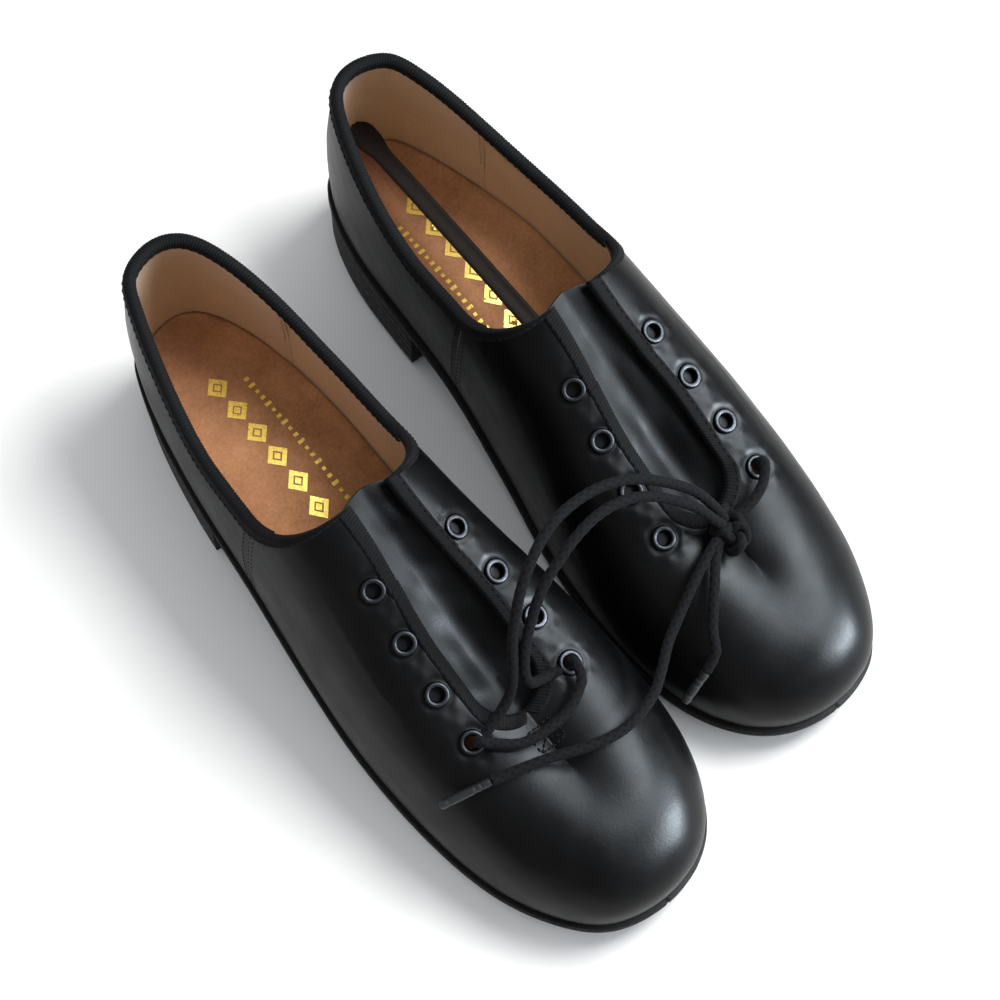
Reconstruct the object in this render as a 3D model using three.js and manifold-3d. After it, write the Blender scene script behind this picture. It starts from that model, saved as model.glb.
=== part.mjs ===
// A pair of lace-up tap shoes, tied together by one lace. Millimetres, +Z up, toes toward -Y.
// Each shoe is built once in its own frame: x across (medial side positive), y minus the distance
// forward of the heel back, z up from the floor. The left shoe is the mirror image of the right one.
import * as THREE from 'three';
import { mergeVertices } from 'three/addons/utils/BufferGeometryUtils.js';
import Module from 'manifold-3d';

const wasm = await Module();
wasm.setup();

// ---------------------------------------------------------------- driving sizes

const touchGap = 0.3;            // clearance between pieces that touch

// plan outline of the upper where it meets the sole (the feather edge)
const upperLength = 252;
const lateralHalfWidths = [13.5, 20.5, 26.5, 31.5, 35, 39, 42, 41.5, 37.5, 29, 17.5];
const medialHalfWidths = [11.5, 19, 24, 26, 27, 31, 37, 39.5, 37.5, 30, 17.5];
const bulge = 2.8;               // how far the wall swells beyond the feather edge
const heelFullness = 0.95;       // 1 is an ellipse, smaller is squarer in section
const foreFullness = 0.74;
const fullnessTo = 130;          // forward of here the whole section has the fore fullness

// side profile of the seat (top of the outsole)
const heelSeatHeight = 27;
const ballSeatHeight = 7;
const seatBreak = 55;            // where the seat starts to fall toward the ball
const shankLength = 95;
const springStart = 185;         // where the toe starts to lift
const toeSpring = 7;

// ridge line of the last, from over the heel to over the toes
const ridgeRear = 32;
const ridgeFront = 203;
const ridgeOffset = -1.5;        // across the shoe
const ridgeHeights = [122, 100, 89.5, 71, 52.5, 42];
const ridgeStep = 35;            // spacing of those heights along the shoe

// collar line
const collarBackHeight = 83;
const collarLowHeight = 66;
const collarLowAt = 70;
const collarRiseAt = 89;
const facingTopHeight = 90;
const facingTopAt = 131;

// materials of the upper
const leather = 1.8;
const liningThickness = 1.0;
const tongueThickness = 1.6;

// side seams, facings and throat
const sideSeamAt = 92;
const liningEndAt = 97;
const throatBaseAt = 226;        // station on the feather edge whose ray meets the throat base
const facingFrontAt = 222;
const foldRear = { at: 105, height: 65 };
const foldFront = { at: 222, height: 43.5 };
const throatRear = { at: 118, half: 7 };
const throatWide = { at: 160, half: 11 };
const facingMinHeight = 4;
const facingFrontGap = 2;         // clearance that lets the front of a facing swing past the vamp

// eyelets, four to each facing
const eyeletCount = 4;
const firstEyeletAt = 135;
const eyeletPitch = 16.5;
const eyeletEdgeDistance = 8.5;
const eyeletBore = 2.1;
const eyeletBarrel = 2.8;
const eyeletFlange = 4.1;
const eyeletFlangeThickness = 0.8;

// tongue
const tongueGap = 3.2;           // the tongue hangs a little below the facings
const tongueRearAt = 118;
const tongueFrontAt = 235;
const tongueRearHalf = 17;
const tongueFrontHalf = 10;

// sole stack
const outsoleThickness = 4;
const outsoleEdge = 1.5;         // how far the sole stands out beyond the feather edge
const boardThickness = 2;
const linerThickness = 1.2;
const tapThickness = 2.8;
const tapInset = 1.5;
const toeTapFrom = 172;
const heelTapTo = 56;
const heelBlockTo = 68;
const heelBlockInset = 0.5;

// tap screws
const screwHeadRadius = 3;
const screwShankRadius = 1.5;
const screwHeadHeight = 1.5;
const toeScrewLength = 5.4;
const heelScrewLength = 12;
const screwFlush = 0.2;          // head sits this far inside the tap's face
const toeScrews = [{ at: 238, across: 3 }, { at: 198, across: -30 }, { at: 198, across: 27 }];
const heelScrews = [{ at: 12, across: 0 }, { at: 44, across: -18 }, { at: 44, across: 18 }];

// collar binding
const bindingOverlap = 0.7;      // stands out beyond the leather and the lining
const bindingHeight = 3;

// the pair
const pairSpacing = 86.5;
const leftSetback = 11.5;
const leftToeIn = THREE.MathUtils.degToRad(-1.5);

// lace: its route is chosen by hand, in the frame of the pair, whose middle is at x 0
const laceDiameter = 3.4;
const laceSides = 8;
const laceBar = [
  [-25, -58.5, 54.4], [-27, -65, 54], [-38, -69.5, 53], [-53, -68, 53], [-63.5, -59.5, 54.4],
];
const laceOuterRun = [
  [-63.5, -59.5, 54.4], [-54, -57, 58], [-45, -54, 62], [-38, -46, 76], [-28, -39, 88], [-13, -33, 93],
  [4, -32, 91], [19, -36, 85], [33, -45, 73], [39, -52, 63], [41.5, -56, 53],
];
const laceInnerRun = [
  [-25, -58.5, 54.4], [-33, -58, 57.5], [-40, -56, 62], [-35, -49, 72], [-24, -43, 82], [-8, -39, 88],
  [6, -38, 87], [19, -41, 81], [31, -49, 71], [37, -55, 61], [41.5, -56, 53],
];
const laceLoop = [[41.5, -56, 53], [50, -56, 54.5], [58, -53, 55.5], [63.7, -47, 54.4]];
const laceLongTail = [
  [41.5, -56, 53], [31, -59.5, 53], [22, -63, 52], [12, -67.5, 49], [3, -72, 47.5], [-5, -77.5, 47],
  [-13, -82, 48], [-26, -84.5, 50.5], [-38, -82, 51.5], [-50, -77, 51.5], [-60, -73.5, 51], [-67, -71, 50],
];
const laceShortTail = [
  [41.5, -56, 53], [32.5, -61, 52.5], [23.5, -70, 50.5], [16, -78, 47.5], [13, -83, 44], [8, -85, 40],
];
const knotCentre = [41.5, -56, 53];
const knotRadii = [6.5, 5.5, 4.5];
const agletDiameter = 3;
const longAglet = { length: 17, end: [-83, -66, 45.5] };
const shortAglet = { length: 12, end: [-1.5, -86.5, 33] };

// shaper stick lying in the left shoe
const stickWidth = 9;
const stickThickness = 2.2;
const stickRearAt = 3.4;
const stickFrontAt = 246;
const stickRearHeight = 47;
const stickFrontHeight = 26;
const stickArch = 6;

// ---------------------------------------------------------------- materials

function finish(color, roughness, metalness = 0) {
  return new THREE.MeshStandardMaterial({ color, roughness, metalness });
}

const finishes = {
  blackLeather: finish(0x17181a, 0.42),
  lining: finish(0xb98e62, 0.9),
  sock: finish(0x8a5a33, 0.95),
  board: finish(0x9c8a6c, 0.9),
  binding: finish(0x121212, 0.85),
  sole: finish(0x1a1817, 0.6),
  tap: finish(0xc4c6c8, 0.3, 1),
  screw: finish(0xa8aaac, 0.35, 1),
  eyelet: finish(0x3a3a3c, 0.3, 1),
  lace: finish(0x141414, 0.9),
  aglet: finish(0x222222, 0.3),
  stick: finish(0x232325, 0.45),
};

// ---------------------------------------------------------------- the last: outline, seat and ridge

function catmullRom(before, from, to, after, t) {
  const linear = to - before;
  const square = 2 * before - 5 * from + 4 * to - after;
  const cube = 3 * from - before - 3 * to + after;
  return 0.5 * (2 * from + linear * t + square * t * t + cube * t * t * t);
}

function smoothStep(value) {
  const t = THREE.MathUtils.clamp(value, 0, 1);
  return t * t * (3 - 2 * t);
}

// half widths at even angles right round the shoe, starting at the heel back and going medially
const outlineWidths = [
  0, ...medialHalfWidths, 0, ...lateralHalfWidths.map((width) => -width).reverse(),
];

// angle 0 is the heel back, PI the toe tip; positive angles are medial, negative ones lateral
function feather(angle) {
  const count = outlineWidths.length;
  const place = (angle / (2 * Math.PI)) * count;
  const index = Math.floor(place);
  const width = (offset) => outlineWidths[(((index + offset) % count) + count) % count];
  const across = catmullRom(width(-1), width(0), width(1), width(2), place - index);
  return { at: (upperLength / 2) * (1 - Math.cos(angle)), across };
}

function angleAt(at, side) {
  return side * Math.acos(THREE.MathUtils.clamp(1 - (2 * at) / upperLength, -1, 1));
}

function seatHeight(at) {
  const fall = smoothStep((at - seatBreak) / shankLength);
  const lift = Math.max(0, (at - springStart) / (upperLength - springStart));
  return ballSeatHeight + (heelSeatHeight - ballSeatHeight) * (1 - fall) + toeSpring * lift * lift;
}

function ridgeHeight(at) {
  const last = ridgeHeights.length - 1;
  const place = THREE.MathUtils.clamp((at - ridgeRear) / ridgeStep, 0, last - 1e-6);
  const index = Math.floor(place);
  const before = index > 0 ? ridgeHeights[index - 1] : 2 * ridgeHeights[0] - ridgeHeights[1];
  const beyond = 2 * ridgeHeights[last] - ridgeHeights[last - 1];
  const after = index + 2 <= last ? ridgeHeights[index + 2] : beyond;
  return catmullRom(before, ridgeHeights[index], ridgeHeights[index + 1], after, place - index);
}

function ridgeStation(at) {
  return ridgeRear + ((ridgeFront - ridgeRear) * at) / upperLength;
}

// a point on the outside of the upper: rise 0 is the feather edge, PI/2 the ridge
function upperPoint(angle, rise) {
  const foot = feather(angle);
  const ridgeAt = ridgeStation(foot.at);
  const reach = Math.hypot(foot.across - ridgeOffset, foot.at - ridgeAt);
  const fullness = THREE.MathUtils.lerp(heelFullness, foreFullness, smoothStep(foot.at / fullnessTo));
  const spread = Math.max(0, Math.cos(rise)) ** fullness + (bulge * Math.sin(2 * rise)) / reach;
  const across = ridgeOffset + (foot.across - ridgeOffset) * spread;
  const at = ridgeAt + (foot.at - ridgeAt) * spread;
  const base = seatHeight(foot.at) + touchGap;
  return new THREE.Vector3(across, -at, base + (ridgeHeight(ridgeAt) - base) * Math.sin(rise));
}

const ridgeRise = Math.PI / 2;
const probe = 1e-3;
const levelRise = 0.35;          // below this rise the wall's thickness turns level with the sole

function ridgeNormal(angle) {
  const at = ridgeStation(feather(angle).at);
  const fall = ridgeHeight(at - 1) - ridgeHeight(at + 1);
  return new THREE.Vector3(0, -fall, 2).normalize();
}

function upperNormal(angle, rise) {
  if (rise > ridgeRise - 2 * probe) return ridgeNormal(angle);
  const along = upperPoint(angle + probe, rise).sub(upperPoint(angle - probe, rise));
  const low = Math.max(0, rise - probe);
  const up = upperPoint(angle, rise + probe).sub(upperPoint(angle, low));
  const normal = up.cross(along).normalize();
  normal.z *= smoothStep(rise / levelRise);
  return normal.normalize();
}

function pointAtDepth(angle, rise, depth) {
  return upperPoint(angle, rise).addScaledVector(upperNormal(angle, rise), -depth);
}

function bisect(test, low, high) {
  let [from, to] = [low, high];
  for (let turn = 0; turn < 40; turn += 1) {
    const middle = (from + to) / 2;
    if (test(middle)) from = middle;
    else to = middle;
  }
  return (from + to) / 2;
}

// rise where the surface is a given distance from the ridge, in plan
function riseAtHalfWidth(angle, half) {
  const wider = (rise) => Math.abs(upperPoint(angle, rise).x - ridgeOffset) > half;
  return bisect(wider, 0.3, ridgeRise);
}

// ---------------------------------------------------------------- edges drawn on the last

function collarHeight(at) {
  const back = collarBackHeight - collarLowHeight;
  const front = facingTopHeight - collarLowHeight;
  const fall = back * (1 - smoothStep(at / collarLowAt));
  const rise = front * smoothStep((at - collarRiseAt) / (facingTopAt - collarRiseAt));
  return collarLowHeight + fall + rise;
}

function riseAtHeight(angle, height) {
  const { at } = feather(angle);
  const base = seatHeight(at) + touchGap;
  const share = (height - base) / (ridgeHeight(ridgeStation(at)) - base);
  return Math.asin(THREE.MathUtils.clamp(share, 0, 1));
}

function collarRise(angle) {
  return riseAtHeight(angle, collarHeight(feather(angle).at));
}

function foldRise(angle) {
  const t = (feather(angle).at - foldRear.at) / (foldFront.at - foldRear.at);
  return riseAtHeight(angle, THREE.MathUtils.lerp(foldRear.height, foldFront.height, t));
}

function throatHalf(angle) {
  const at = ridgeStation(feather(angle).at);
  const t = smoothStep((at - throatRear.at) / (throatWide.at - throatRear.at));
  return THREE.MathUtils.lerp(throatRear.half, throatWide.half, t);
}

// the facing's free edge: the collar line at its rear, then the throat edge, with a rounded corner
function facingEdgeRise(angle) {
  const sharpness = 18;
  const collar = Math.exp(-sharpness * collarRise(angle));
  const throat = Math.exp(-sharpness * riseAtHalfWidth(angle, throatHalf(angle)));
  return -Math.log(collar + throat) / sharpness;
}

// station on the feather edge where the facing begins, on one side
function facingStart(side) {
  const low = (at) => {
    const angle = angleAt(at, side);
    const edge = upperPoint(angle, facingEdgeRise(angle));
    const fold = upperPoint(angle, foldRise(angle));
    return edge.z < fold.z || edge.distanceTo(fold) < facingMinHeight;
  };
  return bisect(low, sideSeamAt, facingTopAt);
}

const facingStarts = { [-1]: facingStart(-1), [1]: facingStart(1) };

// ---------------------------------------------------------------- closed solids

class Skin {
  constructor() {
    this.points = [];
  }

  triangle(a, b, c) {
    this.points.push(a, b, c);
  }

  quad(a, b, c, d) {
    this.triangle(a, b, c);
    this.triangle(a, c, d);
  }

  signedVolume() {
    let sum = 0;
    for (let i = 0; i < this.points.length; i += 3) {
      const [a, b, c] = this.points.slice(i, i + 3);
      sum += a.dot(b.clone().cross(c)) / 6;
    }
    return sum;
  }

  geometry() {
    const inward = this.signedVolume() < 0;
    const geometry = new THREE.BufferGeometry().setFromPoints(this.points);
    const merged = mergeVertices(geometry, 1e-4);
    const source = Array.from(merged.index.array);
    const index = [];
    for (let i = 0; i < source.length; i += 3) {
      const [a, b, c] = source.slice(i, i + 3);
      if (a !== b && b !== c && c !== a) index.push(a, inward ? c : b, inward ? b : c);
    }
    merged.setIndex(index);
    merged.computeVertexNormals();
    return merged;
  }
}

// a shell between two grids of points, closed along its four edges; the top edge stays open where
// both of its columns end on the ridge, because the other half of the upper meets it there
function shell(columns) {
  const skin = new Skin();
  const last = columns[0].outer.length - 1;
  for (let i = 0; i + 1 < columns.length; i += 1) {
    const [here, next] = [columns[i], columns[i + 1]];
    for (let j = 0; j < last; j += 1) {
      skin.quad(here.outer[j], next.outer[j], next.outer[j + 1], here.outer[j + 1]);
      skin.quad(here.inner[j], here.inner[j + 1], next.inner[j + 1], next.inner[j]);
    }
    skin.quad(here.inner[0], next.inner[0], next.outer[0], here.outer[0]);
    if (!(here.onRidge && next.onRidge)) {
      skin.quad(here.outer[last], next.outer[last], next.inner[last], here.inner[last]);
    }
  }
  const [first, end] = [columns[0], columns[columns.length - 1]];
  for (let j = 0; j < last; j += 1) {
    skin.quad(first.inner[j], first.outer[j], first.outer[j + 1], first.inner[j + 1]);
    skin.quad(end.outer[j], end.inner[j], end.inner[j + 1], end.outer[j + 1]);
  }
  return skin.geometry();
}

function spread(from, to, steps) {
  return Array.from({ length: steps + 1 }, (_, i) => from + ((to - from) * i) / steps);
}

// one column of a shell: rises from low to high, between two depths below the outside; toward the
// ridge the rises crowd together, which keeps the rows evenly apart in plan
function column(angle, low, high, rows, depthOut, depthIn) {
  const crowding = high >= ridgeRise ? 1 / foreFullness : 1;
  const rises = spread(0, 1, rows).map((t) => high + (low - high) * (1 - t) ** crowding);
  return {
    outer: rises.map((rise) => pointAtDepth(angle, rise, depthOut)),
    inner: rises.map((rise) => pointAtDepth(angle, rise, depthIn)),
    onRidge: high >= ridgeRise,
  };
}

// a slab between two heights, following an outline given at angles from the heel back to the toe
function slab(angles, offset, bottom, top) {
  const skin = new Skin();
  const section = (angle) => {
    const edge = [offsetFeather(angle, offset), offsetFeather(-angle, offset)];
    const at = (edge[0].at + edge[1].at) / 2;
    const corner = (side, height) => new THREE.Vector3(edge[side].across, -edge[side].at, height);
    return [corner(1, bottom(at)), corner(0, bottom(at)), corner(0, top(at)), corner(1, top(at))];
  };
  const sections = angles.map(section);
  for (let i = 0; i + 1 < sections.length; i += 1) {
    for (let j = 0; j < 4; j += 1) {
      const k = (j + 1) % 4;
      skin.quad(sections[i][j], sections[i][k], sections[i + 1][k], sections[i + 1][j]);
    }
  }
  const [first, end] = [sections[0], sections[sections.length - 1]];
  skin.quad(first[3], first[2], first[1], first[0]);
  skin.quad(end[0], end[1], end[2], end[3]);
  return skin.geometry();
}

// the feather edge moved outward (or inward, for a negative distance)
function offsetFeather(angle, distance) {
  const ahead = feather(angle + probe);
  const behind = feather(angle - probe);
  const here = feather(angle);
  const step = new THREE.Vector2(ahead.across - behind.across, ahead.at - behind.at).normalize();
  return { at: here.at - step.x * distance, across: here.across + step.y * distance };
}

// ---------------------------------------------------------------- cuts

function toManifold(geometry) {
  const bare = geometry.clone();
  bare.deleteAttribute('normal');
  bare.deleteAttribute('uv');
  const merged = mergeVertices(bare, 1e-5);
  const mesh = new wasm.Mesh({
    numProp: 3,
    vertProperties: new Float32Array(merged.attributes.position.array),
    triVerts: new Uint32Array(merged.index.array),
  });
  return new wasm.Manifold(mesh);
}

function fromManifold(solid) {
  const mesh = solid.getMesh();
  const geometry = new THREE.BufferGeometry();
  geometry.setAttribute('position', new THREE.BufferAttribute(new Float32Array(mesh.vertProperties), 3));
  geometry.setIndex(new THREE.BufferAttribute(new Uint32Array(mesh.triVerts), 1));
  geometry.computeVertexNormals();
  return geometry;
}

function cut(geometry, tools) {
  let solid = toManifold(geometry);
  for (const tool of tools) solid = solid.subtract(toManifold(tool));
  return fromManifold(solid);
}

function join(geometries) {
  return fromManifold(geometries.map(toManifold).reduce((sum, solid) => sum.add(solid)));
}

// ---------------------------------------------------------------- turned pieces

const turnSegments = 10;

// a turned piece standing on +Z: points are [radius, height]
function turned(points) {
  const profile = points.map(([radius, height]) => new THREE.Vector2(radius, height));
  return new THREE.LatheGeometry(profile, turnSegments).rotateX(Math.PI / 2);
}

function screwGeometry(length) {
  return turned([
    [0, 0],
    [screwHeadRadius, 0],
    [screwShankRadius, screwHeadHeight],
    [screwShankRadius, length],
    [0, length],
  ]);
}

function screwHole(length) {
  const below = -2 * tapThickness;
  const head = screwHeadRadius + touchGap;
  const shank = screwShankRadius + touchGap;
  return turned([
    [0, below],
    [head, below],
    [head, touchGap / 2],
    [shank, screwHeadHeight + touchGap / 2],
    [shank, length + touchGap],
    [0, length + touchGap],
  ]);
}

function eyeletGeometry() {
  const barrelFoot = touchGap - leather;
  const flangeTop = touchGap + eyeletFlangeThickness;
  return turned([
    [eyeletBore, barrelFoot],
    [eyeletBarrel, barrelFoot],
    [eyeletBarrel, touchGap],
    [eyeletFlange, touchGap],
    [eyeletFlange - eyeletFlangeThickness / 2, flangeTop],
    [eyeletBore + eyeletFlangeThickness / 2, flangeTop],
    [eyeletBore, barrelFoot],
  ]);
}

// ---------------------------------------------------------------- pieces of one shoe

// stations that every piece of the wall shares, so that neighbours keep their gap along their length
const wallStep = Math.PI / 36;

function wallAngles(from, to) {
  const inner = [];
  for (let i = Math.ceil(from / wallStep); i * wallStep < to; i += 1) {
    const angle = i * wallStep;
    if (angle - from > wallStep / 8 && to - angle > wallStep / 8) inner.push(angle);
  }
  return [from, ...inner, to];
}

function vampTop(angle) {
  const { at } = feather(angle);
  if (at >= throatBaseAt - probe) return ridgeRise;
  if (at < facingStarts[Math.sign(angle)] - touchGap / 2) return collarRise(angle) - bindingShare(angle);
  return foldRise(angle) - gapShare(angle);
}

function vamp() {
  const rows = 7;
  const side = (sign) => {
    const breaks = [
      sideSeamAt + touchGap / 2, facingStarts[sign] - touchGap, facingStarts[sign], facingFrontAt,
    ].map((at) => angleAt(at, 1));
    const front = angleAt(throatBaseAt, 1);
    const angles = [
      ...wallAngles(breaks[0], breaks[1]),
      ...wallAngles(breaks[2], breaks[3]),
      ...wallAngles(front, Math.PI),
    ];
    return angles.map((angle) => column(sign * angle, 0, vampTop(sign * angle), rows, 0, leather));
  };
  return shell([...side(1), ...side(-1).reverse().slice(1)]);
}

// change of rise that moves a point about one touching gap along the wall
function gapShare(angle) {
  return riseShare(angle, foldRise(angle), touchGap / 2);
}

// change of rise below the collar line that leaves room for the binding
function bindingShare(angle) {
  return riseShare(angle, collarRise(angle), bindingHeight + touchGap);
}

function riseShare(angle, rise, distance) {
  const step = 0.02;
  const travel = upperPoint(angle, rise).distanceTo(upperPoint(angle, rise - step));
  return (distance * step) / travel;
}

function quarter(side) {
  const backSeam = touchGap / (2 * upperPoint(1, 0).distanceTo(upperPoint(0, 0)));
  const angles = wallAngles(backSeam, angleAt(sideSeamAt - touchGap / 2, 1));
  return shell(angles.map((angle) => {
    const here = side * angle;
    return column(here, 0, collarRise(here) - bindingShare(here), 4, 0, leather);
  }));
}

function lining() {
  const end = angleAt(liningEndAt, 1);
  const outside = leather + touchGap;
  return shell(wallAngles(-end, end).map((angle) => (
    column(angle, 0.02, collarRise(angle) - bindingShare(angle), 4, outside, outside + liningThickness)
  )));
}

function collarBinding() {
  const outside = -bindingOverlap;
  const inside = leather + touchGap + liningThickness + bindingOverlap;
  const end = (side) => angleAt(facingStarts[side] - touchGap, side);
  return shell(wallAngles(end(-1), end(1)).map((angle) => {
    const top = collarRise(angle);
    return column(angle, top - riseShare(angle, top, bindingHeight), top, 1, outside, inside);
  }));
}

function eyeletSites(side) {
  return Array.from({ length: eyeletCount }, (_, index) => {
    const ridgeAt = firstEyeletAt + index * eyeletPitch;
    const siteRise = (angle) => riseAtHalfWidth(angle, throatHalf(angle) + eyeletEdgeDistance);
    const short = (at) => -upperPoint(angleAt(at, side), siteRise(angleAt(at, side))).y < ridgeAt;
    const at = bisect(short, sideSeamAt, throatBaseAt);
    const angle = angleAt(at, side);
    const place = upperPoint(angle, siteRise(angle));
    return { place, normal: upperNormal(angle, siteRise(angle)) };
  });
}

function facing(side) {
  const angles = wallAngles(angleAt(facingStarts[side], 1), angleAt(facingFrontAt - facingFrontGap, 1));
  const columns = angles.map((angle) => {
    const here = side * angle;
    return column(here, foldRise(here) + gapShare(here), facingEdgeRise(here), 5, 0, leather);
  });
  const holes = eyeletSites(side).map(({ place, normal }) => {
    const hole = new THREE.CylinderGeometry(
      eyeletBarrel + touchGap, eyeletBarrel + touchGap, 6 * leather, turnSegments,
    ).rotateX(Math.PI / 2);
    return hole.applyQuaternion(turnToward(normal)).translate(...place);
  });
  return cut(shell(columns), holes);
}

function turnToward(normal) {
  return new THREE.Quaternion().setFromUnitVectors(new THREE.Vector3(0, 0, 1), normal);
}

function tongue() {
  const outside = leather + tongueGap;
  const angles = wallAngles(angleAt(tongueRearAt, 1), angleAt(tongueFrontAt, 1));
  const side = (sign) => angles.map((angle) => {
    const t = (feather(angle).at - tongueRearAt) / (tongueFrontAt - tongueRearAt);
    const low = riseAtHalfWidth(sign * angle, THREE.MathUtils.lerp(tongueRearHalf, tongueFrontHalf, t));
    return column(sign * angle, low, ridgeRise, 4, outside, outside + tongueThickness);
  });
  const whole = side(1).map((medial, i) => {
    const lateral = side(-1)[i];
    return {
      outer: [...lateral.outer, ...medial.outer.slice(0, -1).reverse()],
      inner: [...lateral.inner, ...medial.inner.slice(0, -1).reverse()],
      onRidge: false,
    };
  });
  return shell(whole);
}

const soleAngles = spread(0, Math.PI, 26);

function anglesBetween(from, to, steps) {
  return spread(angleAt(from, 1), angleAt(to, 1), steps);
}

function outsoleBottom(at) {
  return seatHeight(at) - outsoleThickness;
}

function tapBottom(at) {
  return outsoleBottom(at) - tapThickness - touchGap / 2;
}

function screwPlaces(sites, bottom) {
  return sites.map(({ at, across }) => new THREE.Vector3(across, -at, bottom(at) + screwFlush));
}

const floorLift = ballSeatHeight - outsoleThickness - tapThickness - touchGap / 2;
const toePlaces = screwPlaces(toeScrews, tapBottom);
const heelPlaces = screwPlaces(heelScrews, () => floorLift);
const holesFor = (places, length) => places.map((place) => screwHole(length).translate(...place));

function outsole() {
  const body = slab(soleAngles, outsoleEdge, outsoleBottom, seatHeight);
  return cut(body, holesFor(toePlaces, toeScrewLength));
}

function heelBlock() {
  const bottom = () => floorLift + tapThickness + touchGap / 2;
  const top = (at) => outsoleBottom(at) - touchGap / 2;
  const body = slab(anglesBetween(0, heelBlockTo, 10), outsoleEdge - heelBlockInset, bottom, top);
  return cut(body, holesFor(heelPlaces, heelScrewLength));
}

function heelTap() {
  const bottom = () => floorLift;
  const top = () => floorLift + tapThickness;
  const body = slab(anglesBetween(0, heelTapTo, 9), -tapInset, bottom, top);
  return cut(body, holesFor(heelPlaces, heelScrewLength));
}

function toeTap() {
  const top = (at) => tapBottom(at) + tapThickness;
  const body = slab(anglesBetween(toeTapFrom, upperLength, 12), -tapInset, tapBottom, top);
  return cut(body, holesFor(toePlaces, toeScrewLength));
}

function insideInset() {
  return -(leather + liningThickness + 2.5 * touchGap);
}

function insoleBoard() {
  const bottom = (at) => seatHeight(at) + touchGap;
  const top = (at) => bottom(at) + boardThickness;
  return slab(soleAngles, insideInset(), bottom, top);
}

function sockLiner() {
  const bottom = (at) => seatHeight(at) + 2 * touchGap + boardThickness;
  const top = (at) => bottom(at) + linerThickness;
  return slab(soleAngles, insideInset(), bottom, top);
}

// ---------------------------------------------------------------- assembly

function addPiece(group, name, geometry, material) {
  const mesh = new THREE.Mesh(geometry, material);
  mesh.name = name;
  group.add(mesh);
  return mesh;
}

function addEyelets(shoe, prefix, sideName, side) {
  eyeletSites(side).forEach(({ place, normal }, index) => {
    const name = `${prefix}_eyelet_${sideName}_${index + 1}`;
    const mesh = addPiece(shoe, name, eyeletGeometry(), finishes.eyelet);
    mesh.position.copy(place);
    mesh.quaternion.copy(turnToward(normal));
  });
}

function addScrews(shoe, name, places, length) {
  places.forEach((place, index) => {
    addPiece(shoe, `${name}_${index + 1}`, screwGeometry(length), finishes.screw).position.copy(place);
  });
}

function buildShoe(prefix) {
  const shoe = new THREE.Group();
  const add = (name, geometry, material) => addPiece(shoe, `${prefix}_${name}`, geometry, material);
  add('outsole', outsole(), finishes.sole);
  add('heel_block', heelBlock(), finishes.sole);
  add('heel_tap', heelTap(), finishes.tap);
  add('toe_tap', toeTap(), finishes.tap);
  add('insole_board', insoleBoard(), finishes.board);
  add('sock_liner', sockLiner(), finishes.sock);
  add('vamp', vamp(), finishes.blackLeather);
  add('quarter_medial', quarter(1), finishes.blackLeather);
  add('quarter_lateral', quarter(-1), finishes.blackLeather);
  add('facing_medial', facing(1), finishes.blackLeather);
  add('facing_lateral', facing(-1), finishes.blackLeather);
  add('tongue', tongue(), finishes.blackLeather);
  add('lining', lining(), finishes.lining);
  add('collar_binding', collarBinding(), finishes.binding);
  addEyelets(shoe, prefix, 'medial', 1);
  addEyelets(shoe, prefix, 'lateral', -1);
  addScrews(shoe, `${prefix}_toe_tap_screw`, toePlaces, toeScrewLength);
  addScrews(shoe, `${prefix}_heel_tap_screw`, heelPlaces, heelScrewLength);
  return shoe;
}

function shaperStick() {
  const height = (at) => {
    const t = (at - stickRearAt) / (stickFrontAt - stickRearAt);
    const chord = THREE.MathUtils.lerp(stickRearHeight, stickFrontHeight, t);
    return chord + stickArch * Math.sin(Math.PI * t);
  };
  const skin = new Skin();
  const half = stickWidth / 2;
  const sections = spread(0, 1, 24).map((t) => {
    const at = THREE.MathUtils.lerp(stickRearAt, stickFrontAt, t);
    const fromEnd = Math.min(at - stickRearAt, stickFrontAt - at);
    const inset = Math.max(0, half - fromEnd);
    const across = Math.max(half * 0.3, Math.sqrt(Math.max(0, half * half - inset * inset)));
    const z = height(at);
    return [[-across, 0], [across, 0], [across, stickThickness], [-across, stickThickness]]
      .map(([x, rise]) => new THREE.Vector3(x, -at, z + rise));
  });
  for (let i = 0; i + 1 < sections.length; i += 1) {
    for (let j = 0; j < 4; j += 1) {
      const k = (j + 1) % 4;
      skin.quad(sections[i][j], sections[i][k], sections[i + 1][k], sections[i + 1][j]);
    }
  }
  const [first, end] = [sections[0], sections[sections.length - 1]];
  skin.quad(first[3], first[2], first[1], first[0]);
  skin.quad(end[0], end[1], end[2], end[3]);
  return skin.geometry();
}

// a shoe set down by the middle of its length
function setDown(shoe, x, y, turn) {
  const place = new THREE.Group();
  shoe.position.y = upperLength / 2;
  place.add(shoe);
  place.position.set(x, y, 0);
  place.rotation.z = turn;
  return place;
}

function laceStrand(points) {
  const path = new THREE.CatmullRomCurve3(points.map((point) => new THREE.Vector3(...point)));
  const section = new THREE.Shape(
    Array.from({ length: laceSides }, (_, i) => {
      const turn = (2 * Math.PI * i) / laceSides;
      return new THREE.Vector2(Math.cos(turn), Math.sin(turn)).multiplyScalar(laceDiameter / 2);
    }),
  );
  const steps = Math.round(path.getLength() / (2.3 * laceDiameter));
  return new THREE.ExtrudeGeometry(section, { steps, extrudePath: path, bevelEnabled: false });
}

function lace() {
  const knot = new THREE.SphereGeometry(1, 12, 8).scale(...knotRadii).translate(...knotCentre);
  const strands = [laceBar, laceOuterRun, laceInnerRun, laceLoop, laceLongTail, laceShortTail];
  return join([knot, ...strands.map(laceStrand)]);
}

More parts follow.
